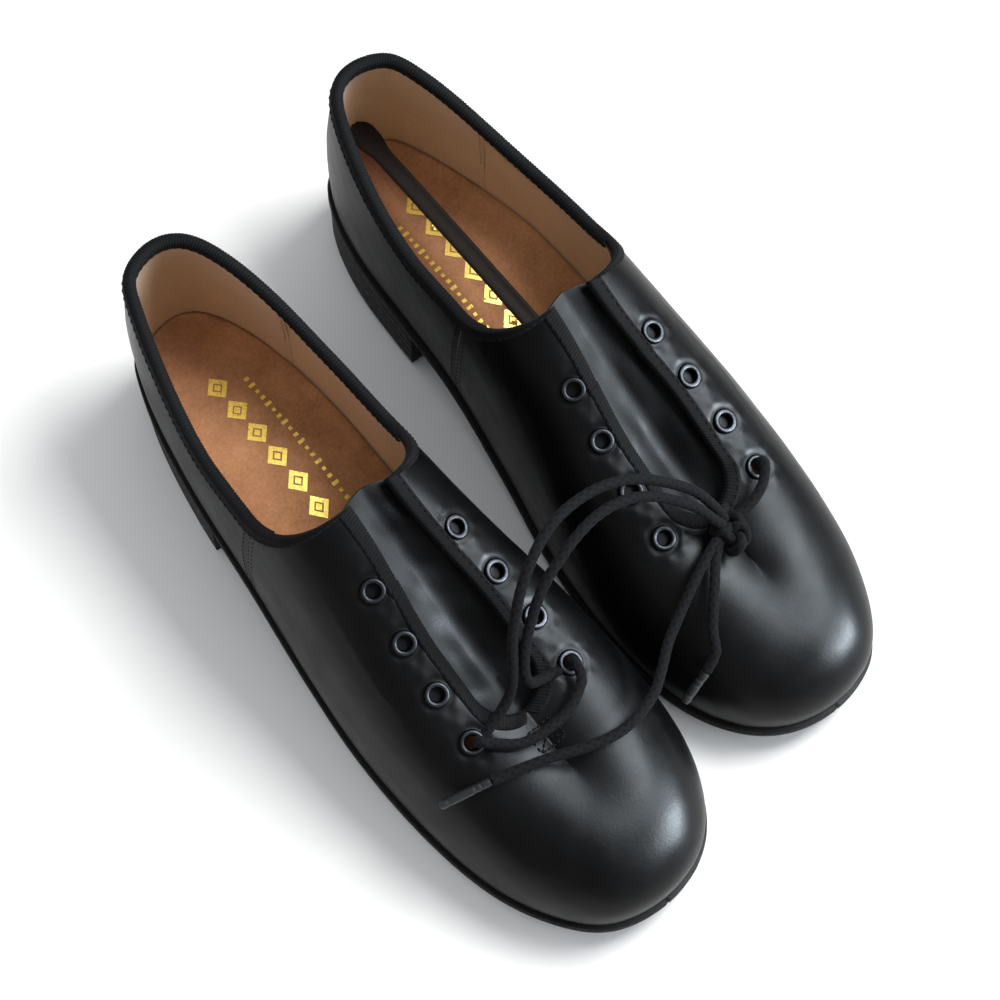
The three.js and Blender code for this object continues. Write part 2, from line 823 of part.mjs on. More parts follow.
function aglet(tail, { length, end }) {
  const start = new THREE.Vector3(...tail[tail.length - 1]);
  const along = new THREE.Vector3(...end).sub(start).normalize();
  const middle = start.addScaledVector(along, length / 2 + 2 * touchGap);
  const geometry = new THREE.CylinderGeometry(agletDiameter / 2, agletDiameter / 2, length, laceSides);
  return geometry.rotateX(Math.PI / 2).applyQuaternion(turnToward(along)).translate(...middle);
}

const rightShoe = buildShoe('right');
const leftShoe = buildShoe('left');
leftShoe.scale.x = -1;
addPiece(leftShoe, 'shaper_stick', shaperStick(), finishes.stick);

const pair = new THREE.Group();
pair.add(setDown(rightShoe, -pairSpacing / 2, 0, 0));
pair.add(setDown(leftShoe, pairSpacing / 2, leftSetback, leftToeIn));
addPiece(pair, 'lace', lace(), finishes.lace);
addPiece(pair, 'aglet_long_tail', aglet(laceLongTail, longAglet), finishes.aglet);
addPiece(pair, 'aglet_short_tail', aglet(laceShortTail, shortAglet), finishes.aglet);

// the pair stands on its taps, and the two shoes are centred over the origin
pair.updateMatrixWorld(true);
const bounds = new THREE.Box3();
for (const shoe of [rightShoe, leftShoe]) bounds.expandByObject(shoe, true);
const centre = bounds.getCenter(new THREE.Vector3());
pair.position.set(-centre.x, -centre.y, -bounds.min.z);

export default pair;
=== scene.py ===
"""A pair of lace-up tap shoes tied together by one lace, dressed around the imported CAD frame."""

import math

import bmesh
import bpy
import numpy as np
from mathutils import Matrix, Vector

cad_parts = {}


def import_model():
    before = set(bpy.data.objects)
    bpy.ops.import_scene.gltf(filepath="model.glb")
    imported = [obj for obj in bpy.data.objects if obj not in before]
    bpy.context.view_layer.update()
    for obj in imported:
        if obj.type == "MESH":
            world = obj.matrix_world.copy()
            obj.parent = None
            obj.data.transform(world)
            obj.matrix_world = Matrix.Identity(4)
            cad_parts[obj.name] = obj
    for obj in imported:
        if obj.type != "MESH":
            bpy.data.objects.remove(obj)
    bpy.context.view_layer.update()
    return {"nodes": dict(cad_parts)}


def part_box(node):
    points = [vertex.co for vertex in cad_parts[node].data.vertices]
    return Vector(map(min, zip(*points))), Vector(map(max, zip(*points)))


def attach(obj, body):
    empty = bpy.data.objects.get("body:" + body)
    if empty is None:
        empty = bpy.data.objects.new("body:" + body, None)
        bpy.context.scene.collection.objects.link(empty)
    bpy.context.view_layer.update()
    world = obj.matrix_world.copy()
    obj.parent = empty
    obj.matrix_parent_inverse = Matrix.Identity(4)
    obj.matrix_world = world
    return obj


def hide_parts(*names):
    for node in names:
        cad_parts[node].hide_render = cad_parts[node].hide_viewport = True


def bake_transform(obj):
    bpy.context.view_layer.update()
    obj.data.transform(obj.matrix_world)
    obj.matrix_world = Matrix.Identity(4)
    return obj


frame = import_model()
MM = 0.001
SIDES = {"medial": 1, "lateral": -1}

# ---------------------------------------------------------------- camera
# sizes in this file are millimetres until a mesh is made; the frame is in metres

CAMERA_AZIMUTH = -42.5
CAMERA_ELEVATION = 66.5
CAMERA_ROLL = 2.2
CAMERA_DISTANCE = 706
CAMERA_LENS = 79.4
CAMERA_TARGET = (-1.5, -4.5, 35)


def make_camera():
    azimuth, elevation = math.radians(CAMERA_AZIMUTH), math.radians(CAMERA_ELEVATION)
    back = Vector((
        math.sin(azimuth) * math.cos(elevation),
        -math.cos(azimuth) * math.cos(elevation),
        math.sin(elevation),
    ))
    right = Vector((math.cos(azimuth), math.sin(azimuth), 0))
    up = back.cross(right)
    roll = math.radians(CAMERA_ROLL)
    turned_right = right * math.cos(roll) + up * math.sin(roll)
    turned_up = up * math.cos(roll) - right * math.sin(roll)
    data = bpy.data.cameras.new("camera")
    data.lens = CAMERA_LENS
    data.sensor_width = 36
    data.clip_start = 0.05
    data.clip_end = 20
    camera = bpy.data.objects.new("camera", data)
    bpy.context.scene.collection.objects.link(camera)
    axes = Matrix((turned_right, turned_up, back)).transposed().to_4x4()
    place = Vector(CAMERA_TARGET) * MM + back * CAMERA_DISTANCE * MM
    camera.matrix_world = Matrix.Translation(place) @ axes
    bpy.context.scene.camera = camera


make_camera()

# ---------------------------------------------------------------- the last, as in the CAD

UPPER_LENGTH = 252
LATERAL_HALF_WIDTHS = [13.5, 20.5, 26.5, 31.5, 35, 39, 42, 41.5, 37.5, 29, 17.5]
MEDIAL_HALF_WIDTHS = [11.5, 19, 24, 26, 27, 31, 37, 39.5, 37.5, 30, 17.5]
OUTLINE = np.array([0, *MEDIAL_HALF_WIDTHS, 0, *[-w for w in reversed(LATERAL_HALF_WIDTHS)]], float)
BULGE = 2.8
HEEL_FULLNESS, FORE_FULLNESS, FULLNESS_TO = 0.95, 0.74, 130
HEEL_SEAT, BALL_SEAT, SEAT_BREAK, SHANK_LENGTH = 27, 7, 55, 95
SPRING_START, TOE_SPRING = 185, 7
RIDGE_REAR, RIDGE_FRONT, RIDGE_OFFSET, RIDGE_STEP = 32, 203, -1.5, 35
RIDGE_HEIGHTS = np.array([122, 100, 89.5, 71, 52.5, 42], float)
COLLAR_BACK, COLLAR_LOW, COLLAR_LOW_AT, COLLAR_RISE_AT = 83, 66, 70, 89
FACING_TOP, FACING_TOP_AT = 90, 131
LEATHER, LINING, TONGUE = 1.8, 1.0, 1.6
GAP = 0.3
SIDE_SEAM_AT, LINING_END_AT = 92, 97
THROAT_BASE_AT, FACING_FRONT_AT = 226, 222
FOLD_REAR, FOLD_FRONT = (105, 65), (222, 43.5)
THROAT_REAR, THROAT_WIDE = (118, 7), (160, 11)
THROAT_CENTRE_AT = 175.5
FIRST_EYELET_AT, EYELET_PITCH, EYELET_EDGE, EYELET_COUNT = 135, 16.5, 8.5, 4
EYELET_BORE, EYELET_FLANGE = 2.1, 4.1
TONGUE_GAP, TONGUE_REAR_AT, TONGUE_FRONT_AT = 3.2, 118, 235
TONGUE_REAR_HALF, TONGUE_FRONT_HALF = 17, 10
OUTSOLE, OUTSOLE_EDGE = 4, 1.5
TAP, TAP_INSET, TOE_TAP_FROM, HEEL_TAP_TO = 2.8, 1.5, 172, 56
HEEL_BLOCK_TO, HEEL_BLOCK_INSET = 68, 0.5
BOARD, LINER = 2, 1.2
PAIR_SPACING, LEFT_SETBACK, LEFT_TOE_IN = 86.5, 11.5, math.radians(-1.5)
RIDGE = math.pi / 2
PROBE = 1e-3
LEVEL_RISE = 0.35
CORNER_SHARPNESS, CORNER_TO = 18, 150
EDGE_STEP = 0.02


def smooth(value):
    t = np.clip(value, 0, 1)
    return t * t * (3 - 2 * t)


def catmull(before, start, end, after, t):
    linear = end - before
    square = 2 * before - 5 * start + 4 * end - after
    cube = 3 * start - before - 3 * end + after
    return 0.5 * (2 * start + linear * t + square * t * t + cube * t ** 3)


def feather(angle):
    place = np.asarray(angle, float) / (2 * math.pi) * len(OUTLINE)
    index = np.floor(place).astype(int)
    width = [OUTLINE[(index + k) % len(OUTLINE)] for k in (-1, 0, 1, 2)]
    return UPPER_LENGTH / 2 * (1 - np.cos(angle)), catmull(*width, place - index)


def angle_at(at, side=1):
    return side * np.arccos(np.clip(1 - 2 * np.asarray(at, float) / UPPER_LENGTH, -1, 1))


def seat_height(at):
    fall = smooth((at - SEAT_BREAK) / SHANK_LENGTH)
    lift = np.maximum(0, (at - SPRING_START) / (UPPER_LENGTH - SPRING_START))
    return BALL_SEAT + (HEEL_SEAT - BALL_SEAT) * (1 - fall) + TOE_SPRING * lift * lift


def ridge_height(at):
    last = len(RIDGE_HEIGHTS) - 1
    ends = (2 * RIDGE_HEIGHTS[0] - RIDGE_HEIGHTS[1], 2 * RIDGE_HEIGHTS[-1] - RIDGE_HEIGHTS[-2])
    padded = np.array([ends[0], *RIDGE_HEIGHTS, ends[1]])
    place = np.clip((np.asarray(at, float) - RIDGE_REAR) / RIDGE_STEP, 0, last - 1e-6)
    index = np.floor(place).astype(int)
    return catmull(*[padded[index + k] for k in range(4)], place - index)


def ridge_station(at):
    return RIDGE_REAR + (RIDGE_FRONT - RIDGE_REAR) * at / UPPER_LENGTH


def upper_point(angle, rise):
    """Points on the outside of the upper: rise 0 is the feather edge, pi/2 the ridge."""
    angle, rise = np.broadcast_arrays(np.asarray(angle, float), np.asarray(rise, float))
    foot_at, foot_across = feather(angle)
    ridge_at = ridge_station(foot_at)
    reach = np.hypot(foot_across - RIDGE_OFFSET, foot_at - ridge_at)
    fullness = HEEL_FULLNESS + (FORE_FULLNESS - HEEL_FULLNESS) * smooth(foot_at / FULLNESS_TO)
    share = np.maximum(0, np.cos(rise)) ** fullness + BULGE * np.sin(2 * rise) / reach
    base = seat_height(foot_at) + GAP
    return np.stack([
        RIDGE_OFFSET + (foot_across - RIDGE_OFFSET) * share,
        -(ridge_at + (foot_at - ridge_at) * share),
        base + (ridge_height(ridge_at) - base) * np.sin(rise),
    ], -1)


def unit(vectors):
    return vectors / np.maximum(np.linalg.norm(vectors, axis=-1, keepdims=True), 1e-12)


def upper_normal(angle, rise):
    angle, rise = np.broadcast_arrays(np.asarray(angle, float), np.asarray(rise, float))
    near = np.minimum(rise, RIDGE - 3 * PROBE)
    along = upper_point(angle + PROBE, near) - upper_point(angle - PROBE, near)
    up = upper_point(angle, near + PROBE) - upper_point(angle, np.maximum(0, near - PROBE))
    normal = unit(np.cross(up, along))
    normal[..., 2] *= smooth(rise / LEVEL_RISE)
    at = ridge_station(feather(angle)[0])
    fall = ridge_height(at - 1) - ridge_height(at + 1)
    top = unit(np.stack([np.zeros_like(fall), -fall, np.full_like(fall, 2)], -1))
    return np.where((rise > RIDGE - 2 * PROBE)[..., None], top, unit(normal))


def at_depth(angle, rise, depth):
    return upper_point(angle, rise) - upper_normal(angle, rise) * np.asarray(depth, float)[..., None]


def bisect(test, low, high, turns=34):
    low, high = np.array(low, float), np.array(high, float)
    for _ in range(turns):
        middle = (low + high) / 2
        yes = test(middle)
        low, high = np.where(yes, middle, low), np.where(yes, high, middle)
    return (low + high) / 2


# ---------------------------------------------------------------- edges drawn on the last


def collar_height(at):
    fall = (COLLAR_BACK - COLLAR_LOW) * (1 - smooth(at / COLLAR_LOW_AT))
    rise = (FACING_TOP - COLLAR_LOW) * smooth((at - COLLAR_RISE_AT) / (FACING_TOP_AT - COLLAR_RISE_AT))
    return COLLAR_LOW + fall + rise


def rise_at_height(angle, height):
    at = feather(angle)[0]
    base = seat_height(at) + GAP
    return np.arcsin(np.clip((height - base) / (ridge_height(ridge_station(at)) - base), 0, 1))


def collar_rise(angle):
    return rise_at_height(angle, collar_height(feather(angle)[0]))


def fold_rise(angle):
    t = (feather(angle)[0] - FOLD_REAR[0]) / (FOLD_FRONT[0] - FOLD_REAR[0])
    return rise_at_height(angle, FOLD_REAR[1] + (FOLD_FRONT[1] - FOLD_REAR[1]) * t)


def throat_half(at):
    t = smooth((at - THROAT_REAR[0]) / (THROAT_WIDE[0] - THROAT_REAR[0]))
    return THROAT_REAR[1] + (THROAT_WIDE[1] - THROAT_REAR[1]) * t


def throat_distance(points):
    """Plan distance outside the U-shaped throat opening."""
    at = -points[..., 1]
    beyond = np.maximum(0, at - THROAT_CENTRE_AT)
    return np.hypot(points[..., 0] - RIDGE_OFFSET, beyond) - throat_half(at)


def throat_rise(angle):
    low = np.full(np.shape(angle), 0.3)
    found = bisect(lambda rise: throat_distance(upper_point(angle, rise)) > 0, low, low * 0 + RIDGE)
    ridge_at = ridge_station(feather(angle)[0])
    return np.where(ridge_at > THROAT_CENTRE_AT + THROAT_WIDE[1], RIDGE, found)


def edge_rise(angle):
    """The upper's top edge: the collar, then the throat's edge, then the ridge over the toe."""
    angle = np.asarray(angle, float)
    collar, throat = collar_rise(angle), throat_rise(angle)
    both = np.exp(-CORNER_SHARPNESS * collar) + np.exp(-CORNER_SHARPNESS * throat)
    corner = -np.log(both) / CORNER_SHARPNESS
    at = feather(angle)[0]
    return np.where(at < SIDE_SEAM_AT, collar, np.where(at > CORNER_TO, throat, corner))


def drop_rise(angle, top, drop):
    """The rise that lies drop millimetres below the edge, along the surface."""
    below = upper_point(angle, top - EDGE_STEP)
    travel = np.linalg.norm(upper_point(angle, top) - below, axis=-1)
    return top - drop * EDGE_STEP / travel


def facing_start(side):
    def low(at):
        angle = angle_at(at, side)
        edge, fold = upper_point(angle, edge_rise(angle)), upper_point(angle, fold_rise(angle))
        return (edge[2] < fold[2]) | (np.linalg.norm(edge - fold) < 4)
    return float(bisect(low, SIDE_SEAM_AT, FACING_TOP_AT))


FACING_STARTS = {side: facing_start(side) for side in (1, -1)}


def half_width_rise(angle, half):
    return bisect(
        lambda rise: np.abs(upper_point(angle, rise)[..., 0] - RIDGE_OFFSET) > half,
        np.full(np.shape(angle), 0.3), np.full(np.shape(angle), RIDGE),
    )


def eyelet_sites(side):
    sites = []
    for index in range(EYELET_COUNT):
        wanted = FIRST_EYELET_AT + index * EYELET_PITCH

        def site_rise(angle):
            return half_width_rise(angle, throat_half(ridge_station(feather(angle)[0])) + EYELET_EDGE)

        def short(at):
            angle = angle_at(at, side)
            return -upper_point(angle, site_rise(angle))[..., 1] < wanted

        angle = angle_at(bisect(short, np.array(SIDE_SEAM_AT), np.array(THROAT_BASE_AT)), side)
        rise = site_rise(angle)
        sites.append((upper_point(angle, rise), upper_normal(angle, rise)))
    return sites


EYELETS = {side: eyelet_sites(side) for side in (1, -1)}

# ---------------------------------------------------------------- from shoe to pair


def offset_feather(angle, distance):
    at, across = feather(angle)
    ahead, behind = feather(angle + PROBE), feather(angle - PROBE)
    step = np.stack([ahead[1] - behind[1], ahead[0] - behind[0]], -1)
    step = unit(step)
    return at - step[..., 0] * distance, across + step[..., 1] * distance


def placed(points, shoe):
    """Shoe frame to pair frame, before the pair is centred."""
    x, y, z = points[..., 0], points[..., 1] + UPPER_LENGTH / 2, points[..., 2]
    if shoe == "right":
        return np.stack([x - PAIR_SPACING / 2, y, z], -1)
    c, s = math.cos(LEFT_TOE_IN), math.sin(LEFT_TOE_IN)
    return np.stack([-x * c - y * s + PAIR_SPACING / 2, -x * s + y * c + LEFT_SETBACK, z], -1)


def centring():
    """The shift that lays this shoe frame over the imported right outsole."""
    at, across = offset_feather(np.linspace(-math.pi, math.pi, 721), OUTSOLE_EDGE)
    rim = placed(np.stack([across, -at, np.zeros_like(at)], -1), "right")
    low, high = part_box("right_outsole")
    middle = np.array([(low[0] + high[0]) / 2, (low[1] + high[1]) / 2]) / MM
    shift = middle - (rim[:, :2].min(0) + rim[:, :2].max(0)) / 2
    return np.array([*shift, low[2] / MM - (BALL_SEAT - OUTSOLE)])


SHIFT = centring()


def world(points, shoe=None):
    points = np.asarray(points, float)
    return (placed(points, shoe) if shoe else points) + SHIFT


def world_direction(vectors, shoe):
    origin = np.zeros(3)
    return placed(np.asarray(vectors, float), shoe) - placed(origin, shoe)


# ---------------------------------------------------------------- materials


class Nodes:
    """A small builder of node materials: every one starts from a Principled shader."""

    def __init__(self, name, roughness=0.5, metallic=0.0, **constants):
        self.material = bpy.data.materials.new(name)
        self.material.use_nodes = True
        self.tree = self.material.node_tree
        self.shader = self.tree.nodes["Principled BSDF"]
        self.set("Roughness", roughness)
        self.set("Metallic", metallic)
        for key, value in constants.items():
            self.set(key.replace("_", " "), value)

    def set(self, socket, value):
        self.shader.inputs[socket].default_value = value

    def add(self, kind, **values):
        node = self.tree.nodes.new(kind)
        for key, value in values.items():
            if hasattr(node, key):
                setattr(node, key, value)
            else:
                node.inputs[key].default_value = value
        return node

    def link(self, source, target):
        self.tree.links.new(source, target)

    def place(self, scale=(1, 1, 1)):
        mapping = self.add("ShaderNodeMapping")
        mapping.inputs["Scale"].default_value = scale
        self.link(self.add("ShaderNodeTexCoord").outputs["Object"], mapping.inputs["Vector"])
        return mapping.outputs["Vector"]

    def noise(self, scale, detail=4, roughness=0.55, where=None):
        node = self.add("ShaderNodeTexNoise", Scale=scale, Detail=detail, Roughness=roughness)
        self.link(where or self.place(), node.inputs["Vector"])
        return node.outputs["Fac"]

    def cells(self, scale):
        node = self.add("ShaderNodeTexVoronoi", feature="F1", Scale=scale)
        self.link(self.place(), node.inputs["Vector"])
        return node.outputs["Distance"]

    def ramp(self, source, stops):
        node = self.add("ShaderNodeValToRGB")
        elements = node.color_ramp.elements
        while len(elements) < len(stops):
            elements.new(0.5)
        for element, (place, color) in zip(elements, stops):
            element.position = place
            element.color = (*color, 1)
        self.link(source, node.inputs["Fac"])
        return node.outputs["Color"]

    def span(self, source, low, high, start=0.0, end=1.0):
        node = self.add("ShaderNodeMapRange")
        for key, value in zip(("From Min", "From Max", "To Min", "To Max"), (start, end, low, high)):
            node.inputs[key].default_value = value
        self.link(source, node.inputs["Value"])
        return node.outputs["Result"]

    def mix(self, factor, first, second):
        node = self.add("ShaderNodeMix", data_type="RGBA")
        self.link(factor, node.inputs[0])
        for socket, value in ((node.inputs[6], first), (node.inputs[7], second)):
            if isinstance(value, tuple):
                socket.default_value = (*value, 1)
            else:
                self.link(value, socket)
        return node.outputs[2]

    def maths(self, operation, first, second):
        node = self.add("ShaderNodeMath", operation=operation)
        for socket, value in zip(node.inputs, (first, second)):
            if isinstance(value, (int, float)):
                socket.default_value = value
            else:
                self.link(value, socket)
        return node.outputs[0]

    def attribute(self, name):
        return self.add("ShaderNodeAttribute", attribute_name=name).outputs["Fac"]

    def color(self, source):
        self.link(source, self.shader.inputs["Base Color"])

    def rough(self, source):
        self.link(source, self.shader.inputs["Roughness"])

    def bump(self, height, strength, distance):
        node = self.add("ShaderNodeBump", Strength=strength, Distance=distance * MM)
        before = self.shader.inputs["Normal"].links
        if before:
            self.link(before[0].from_socket, node.inputs["Normal"])
        self.link(height, node.inputs["Height"])
        self.link(node.outputs["Normal"], self.shader.inputs["Normal"])


def leather_material(name, dark, light, roughness, grain=1.0):
    m = Nodes(name, Specular_IOR_Level=0.11, Coat_Weight=0.0, Coat_Roughness=0.3)
    tone = m.noise(28, 5, 0.6)
    m.color(m.ramp(tone, [(0.3, dark), (0.75, light)]))
    fine = m.noise(1500, 3, 0.6)
    patches = m.noise(60, 4, 0.6)
    blend = m.maths("ADD", m.maths("MULTIPLY", patches, 0.7), m.maths("MULTIPLY", fine, 0.3))
    m.rough(m.span(blend, roughness - 0.07, roughness + 0.09, 0.3, 0.7))
    m.bump(m.cells(1300), 0.22 * grain, 0.06)
    m.bump(m.noise(420, 4, 0.62), 0.16 * grain, 0.12)
    m.bump(m.noise(45, 3, 0.5), 0.25, 0.5)
    return m.material


def cloth_material(name, dark, light, scale, roughness=0.9, sheen=0.3, strength=0.5):
    m = Nodes(name, roughness, Specular_IOR_Level=0.07, Sheen_Weight=sheen, Sheen_Roughness=0.4)
    threads = m.noise(scale, 3, 0.7)
    wide = m.noise(70, 4, 0.6)
    blend = m.maths("ADD", m.maths("MULTIPLY", threads, 0.6), m.maths("MULTIPLY", wide, 0.4))
    m.color(m.mix(blend, dark, light))
    m.bump(threads, strength, 0.15)
    m.bump(m.cells(scale * 0.8), strength * 0.6, 0.1)
    return m.material


def suede_material():
    m = Nodes("suede", 0.95, Sheen_Weight=0.35, Sheen_Roughness=0.5, Sheen_Tint=(0.9, 0.6, 0.4, 1))
    nap = m.noise(900, 4, 0.75)
    patch = m.noise(55, 5, 0.65)
    blend = m.maths("ADD", m.maths("MULTIPLY", nap, 0.45), m.maths("MULTIPLY", patch, 0.55))
    m.color(m.ramp(blend, [
        (0.32, (0.22, 0.095, 0.038)), (0.5, (0.36, 0.165, 0.07)), (0.7, (0.50, 0.25, 0.115)),
    ]))
    m.bump(nap, 0.6, 0.25)
    m.bump(patch, 0.3, 0.5)
    return m.material


def metal_material(name, color, worn_and_lit, roughness, wear_roughness=0.25):
    # the second colour goes where the wear attribute is high: real wear on screw faces and aglet tips, a
    # painted highlight on the eyelet flange tops
    m = Nodes(name, roughness, 1.0)
    wear_and_painted_light = m.maths("MULTIPLY", m.attribute("wear_and_painted_light"), m.span(m.noise(900, 4, 0.7), 0.55, 1.2, 0.3, 0.7))
    m.color(m.mix(wear_and_painted_light, color, worn_and_lit))
    m.rough(m.span(wear_and_painted_light, roughness, wear_roughness))
    m.bump(m.noise(2200, 3, 0.6), 0.12, 0.05)
    return m.material


def scuffed_metal_material(name, color, scuff):
    m = Nodes(name, 0.3, 1.0)
    along = m.place((140, 2600, 900))
    lines = m.noise(1.0, 5, 0.7, along)
    across = m.noise(1.0, 4, 0.7, m.place((2400, 180, 900)))
    both = m.maths("MULTIPLY", lines, across)
    m.color(m.mix(m.span(both, 0, 1, 0.18, 0.36), color, scuff))
    m.rough(m.span(both, 0.2, 0.5, 0.15, 0.4))
    m.bump(both, 0.3, 0.06)
    return m.material


def gold_material():
    m = Nodes("gold_stamp", 0.4, 0.35)
    flake = m.noise(1100, 5, 0.75)
    m.color(m.ramp(flake, [(0.34, (0.30, 0.15, 0.05)), (0.44, (0.85, 0.58, 0.09)), (0.8, (1.0, 0.76, 0.18))]))
    m.rough(m.span(flake, 0.6, 0.3, 0.35, 0.6))
    m.bump(flake, 0.4, 0.08)
    return m.material


def braid_material():
    m = Nodes("braid", 0.9, Specular_IOR_Level=0.05, Sheen_Weight=0.02, Sheen_Roughness=0.45)
    # the braid's crests get the lighter colour and its grooves the darker one: painted shade between the
    # strands
    ridge = m.attribute("wear_and_painted_light")
    fibre = m.noise(2600, 3, 0.7)
    shade = m.maths("ADD", m.maths("MULTIPLY", ridge, 0.6), m.maths("MULTIPLY", fibre, 0.4))
    m.color(m.mix(shade, (0.0015, 0.0015, 0.0018), (0.014, 0.014, 0.016)))
    m.bump(fibre, 0.5, 0.12)
    return m.material


def sole_edge_material(name, dark, light):
    m = Nodes(name, Specular_IOR_Level=0.1)
    layers = m.noise(1.0, 3, 0.6, m.place((60, 60, 2400)))
    m.color(m.mix(layers, dark, light))
    m.rough(m.span(m.noise(500, 4, 0.6), 0.42, 0.68, 0.3, 0.7))
    m.bump(layers, 0.35, 0.08)
    m.bump(m.noise(700, 3, 0.6), 0.2, 0.1)
    return m.material


BLACK = leather_material("black_leather", (0.002, 0.002, 0.0022), (0.0042, 0.0042, 0.0046), 0.36)
TONGUE_SKIN = leather_material("tongue_leather", (0.0018, 0.0018, 0.002), (0.004, 0.004, 0.0045), 0.42, 1.3)
TAPE = cloth_material("binding_tape", (0.0015, 0.0015, 0.0018), (0.009, 0.009, 0.010), 2400, 0.78, 0.04, 0.3)
TAN = cloth_material("tan_lining", (0.42, 0.25, 0.13), (0.66, 0.45, 0.27), 1500, 0.88, 0.25, 0.35)
GRIP = cloth_material("heel_grip", (0.40, 0.24, 0.12), (0.62, 0.42, 0.25), 1100, 0.95, 0.35, 0.5)
SUEDE = suede_material()
GOLD = gold_material()
BOARD_SKIN = cloth_material("insole_board", (0.20, 0.14, 0.08), (0.38, 0.29, 0.19), 1800, 0.9, 0.0, 0.4)
THREAD = cloth_material("black_thread", (0.002, 0.002, 0.0025), (0.010, 0.010, 0.011), 5200, 0.75, 0.05, 0.4)
TAN_THREAD = cloth_material("tan_thread", (0.40, 0.26, 0.13), (0.62, 0.44, 0.27), 5200, 0.8, 0.1, 0.4)
BRAID = braid_material()
SOLE = sole_edge_material("sole_leather", (0.004, 0.0037, 0.0034), (0.014, 0.0125, 0.011))
HEEL = sole_edge_material("heel_lifts", (0.005, 0.005, 0.005), (0.018, 0.017, 0.016))
TAP_METAL = scuffed_metal_material("tap_metal", (0.72, 0.73, 0.75), (0.42, 0.43, 0.45))
SCREW_METAL = metal_material("screw_metal", (0.45, 0.46, 0.48), (0.75, 0.76, 0.78), 0.34)
# the eyelets' second, lighter colour is a painted highlight laid on the top of each flange
EYELET_METAL = metal_material("eyelet_metal", (0.005, 0.005, 0.006), (0.032, 0.033, 0.036), 0.48, 0.38)
AGLET_SKIN = metal_material("aglet_skin", (0.003, 0.003, 0.0035), (0.018, 0.018, 0.02), 0.4, 0.5)
AGLET_SKIN.node_tree.nodes["Principled BSDF"].inputs["Metallic"].default_value = 0
STICK_SKIN = cloth_material(
    "stick_plastic", (0.008, 0.006, 0.005), (0.022, 0.018, 0.015), 900, 0.4, 0.0, 0.12,
)

# ---------------------------------------------------------------- meshes


def make_mesh(name, points, faces, materials, face_material=None, wear_and_painted_light=None, crease=38):
    """A welded, outward-facing smooth mesh from millimetre points in the pair frame."""
    mesh = bpy.data.meshes.new(name)
    mesh.from_pydata((np.asarray(points) * MM).tolist(), [], [list(map(int, f)) for f in faces])
    for material in materials:
        mesh.materials.append(material)
    if face_material is not None:
        mesh.polygons.foreach_set("material_index", np.asarray(face_material, np.int32))
    if wear_and_painted_light is not None:
        layer = mesh.attributes.new("wear_and_painted_light", "FLOAT", "POINT")
        layer.data.foreach_set("value", np.asarray(wear_and_painted_light, np.float32))
    work = bmesh.new()
    work.from_mesh(mesh)
    loose = [v for v in work.verts if not v.link_faces]
    bmesh.ops.delete(work, geom=loose, context="VERTS")
    bmesh.ops.remove_doubles(work, verts=work.verts, dist=2e-6)
    bmesh.ops.dissolve_degenerate(work, edges=work.edges, dist=1e-6)
    bmesh.ops.recalc_face_normals(work, faces=work.faces)
    if work.calc_volume(signed=True) < 0:
        bmesh.ops.reverse_faces(work, faces=work.faces)
    work.to_mesh(mesh)
    work.free()
    mesh.polygons.foreach_set("use_smooth", np.ones(len(mesh.polygons), bool))
    mesh.set_sharp_from_angle(angle=math.radians(crease))
    piece = bpy.data.objects.new(name, mesh)
    bpy.context.scene.collection.objects.link(piece)
    return piece


def grid_faces(columns, rows, wrap_columns=False, wrap_rows=False):
    c = np.arange(columns if wrap_columns else columns - 1)
    r = np.arange(rows if wrap_rows else rows - 1)
    c, r = [a.ravel() for a in np.meshgrid(c, r, indexing="ij")]
    nc, nr = (c + 1) % columns, (r + 1) % rows
    return np.stack([c * rows + r, nc * rows + r, nc * rows + nr, c * rows + nr], -1)


def loft(name, sections, materials, wear_and_painted_light=None, caps=True, crease=38):
    """A closed skin through a row of closed sections, shaped (sections, points, 3)."""
    sections = np.asarray(sections, float)
    count, size = sections.shape[:2]
    faces = [list(f) for f in grid_faces(count, size, wrap_rows=True)]
    if caps:
        faces.append(list(range(size)))
        faces.append([(count - 1) * size + i for i in reversed(range(size))])
    flat = None if wear_and_painted_light is None else np.asarray(wear_and_painted_light, float).reshape(-1)
    return make_mesh(name, sections.reshape(-1, 3), faces, materials, wear_and_painted_light=flat, crease=crease)


def resample(points, step, closed=False):
    """Points spread evenly along a smooth curve through the given ones."""
    points = np.asarray(points, float)
    ends = (2 * points[0] - points[1], 2 * points[-1] - points[-2])
    padded = np.vstack([ends[0], points, ends[1]])
    if closed:
        padded = np.vstack([points[-1], points, points[:2]])
    t = np.linspace(0, 1, 24, endpoint=False)[:, None]
    spans = [catmull(*[padded[i + k] for k in range(4)], t) for i in range(len(padded) - 3)]
    dense = np.vstack([*spans, padded[-2] if not closed else points[0]])
    length = np.concatenate([[0], np.cumsum(np.linalg.norm(np.diff(dense, axis=0), axis=1))])
    places = np.linspace(0, length[-1], max(8, int(round(length[-1] / step))))
    return np.stack([np.interp(places, length, dense[:, k]) for k in range(3)], -1), length[-1]


def frames(path):
    """Tangents and two turning-free cross directions along a path."""
    tangent = unit(np.gradient(path, axis=0))
    first = np.cross(tangent[0], [0.1, 0.2, 1.0])
    across = [first / np.linalg.norm(first)]
    for t in tangent[1:]:
        side = across[-1] - t * (across[-1] @ t)
        across.append(side / np.linalg.norm(side))
    across = np.array(across)
    return tangent, across, np.cross(tangent, across)


BRAID_SIDES = 20
BRAID_PITCH = 3.2


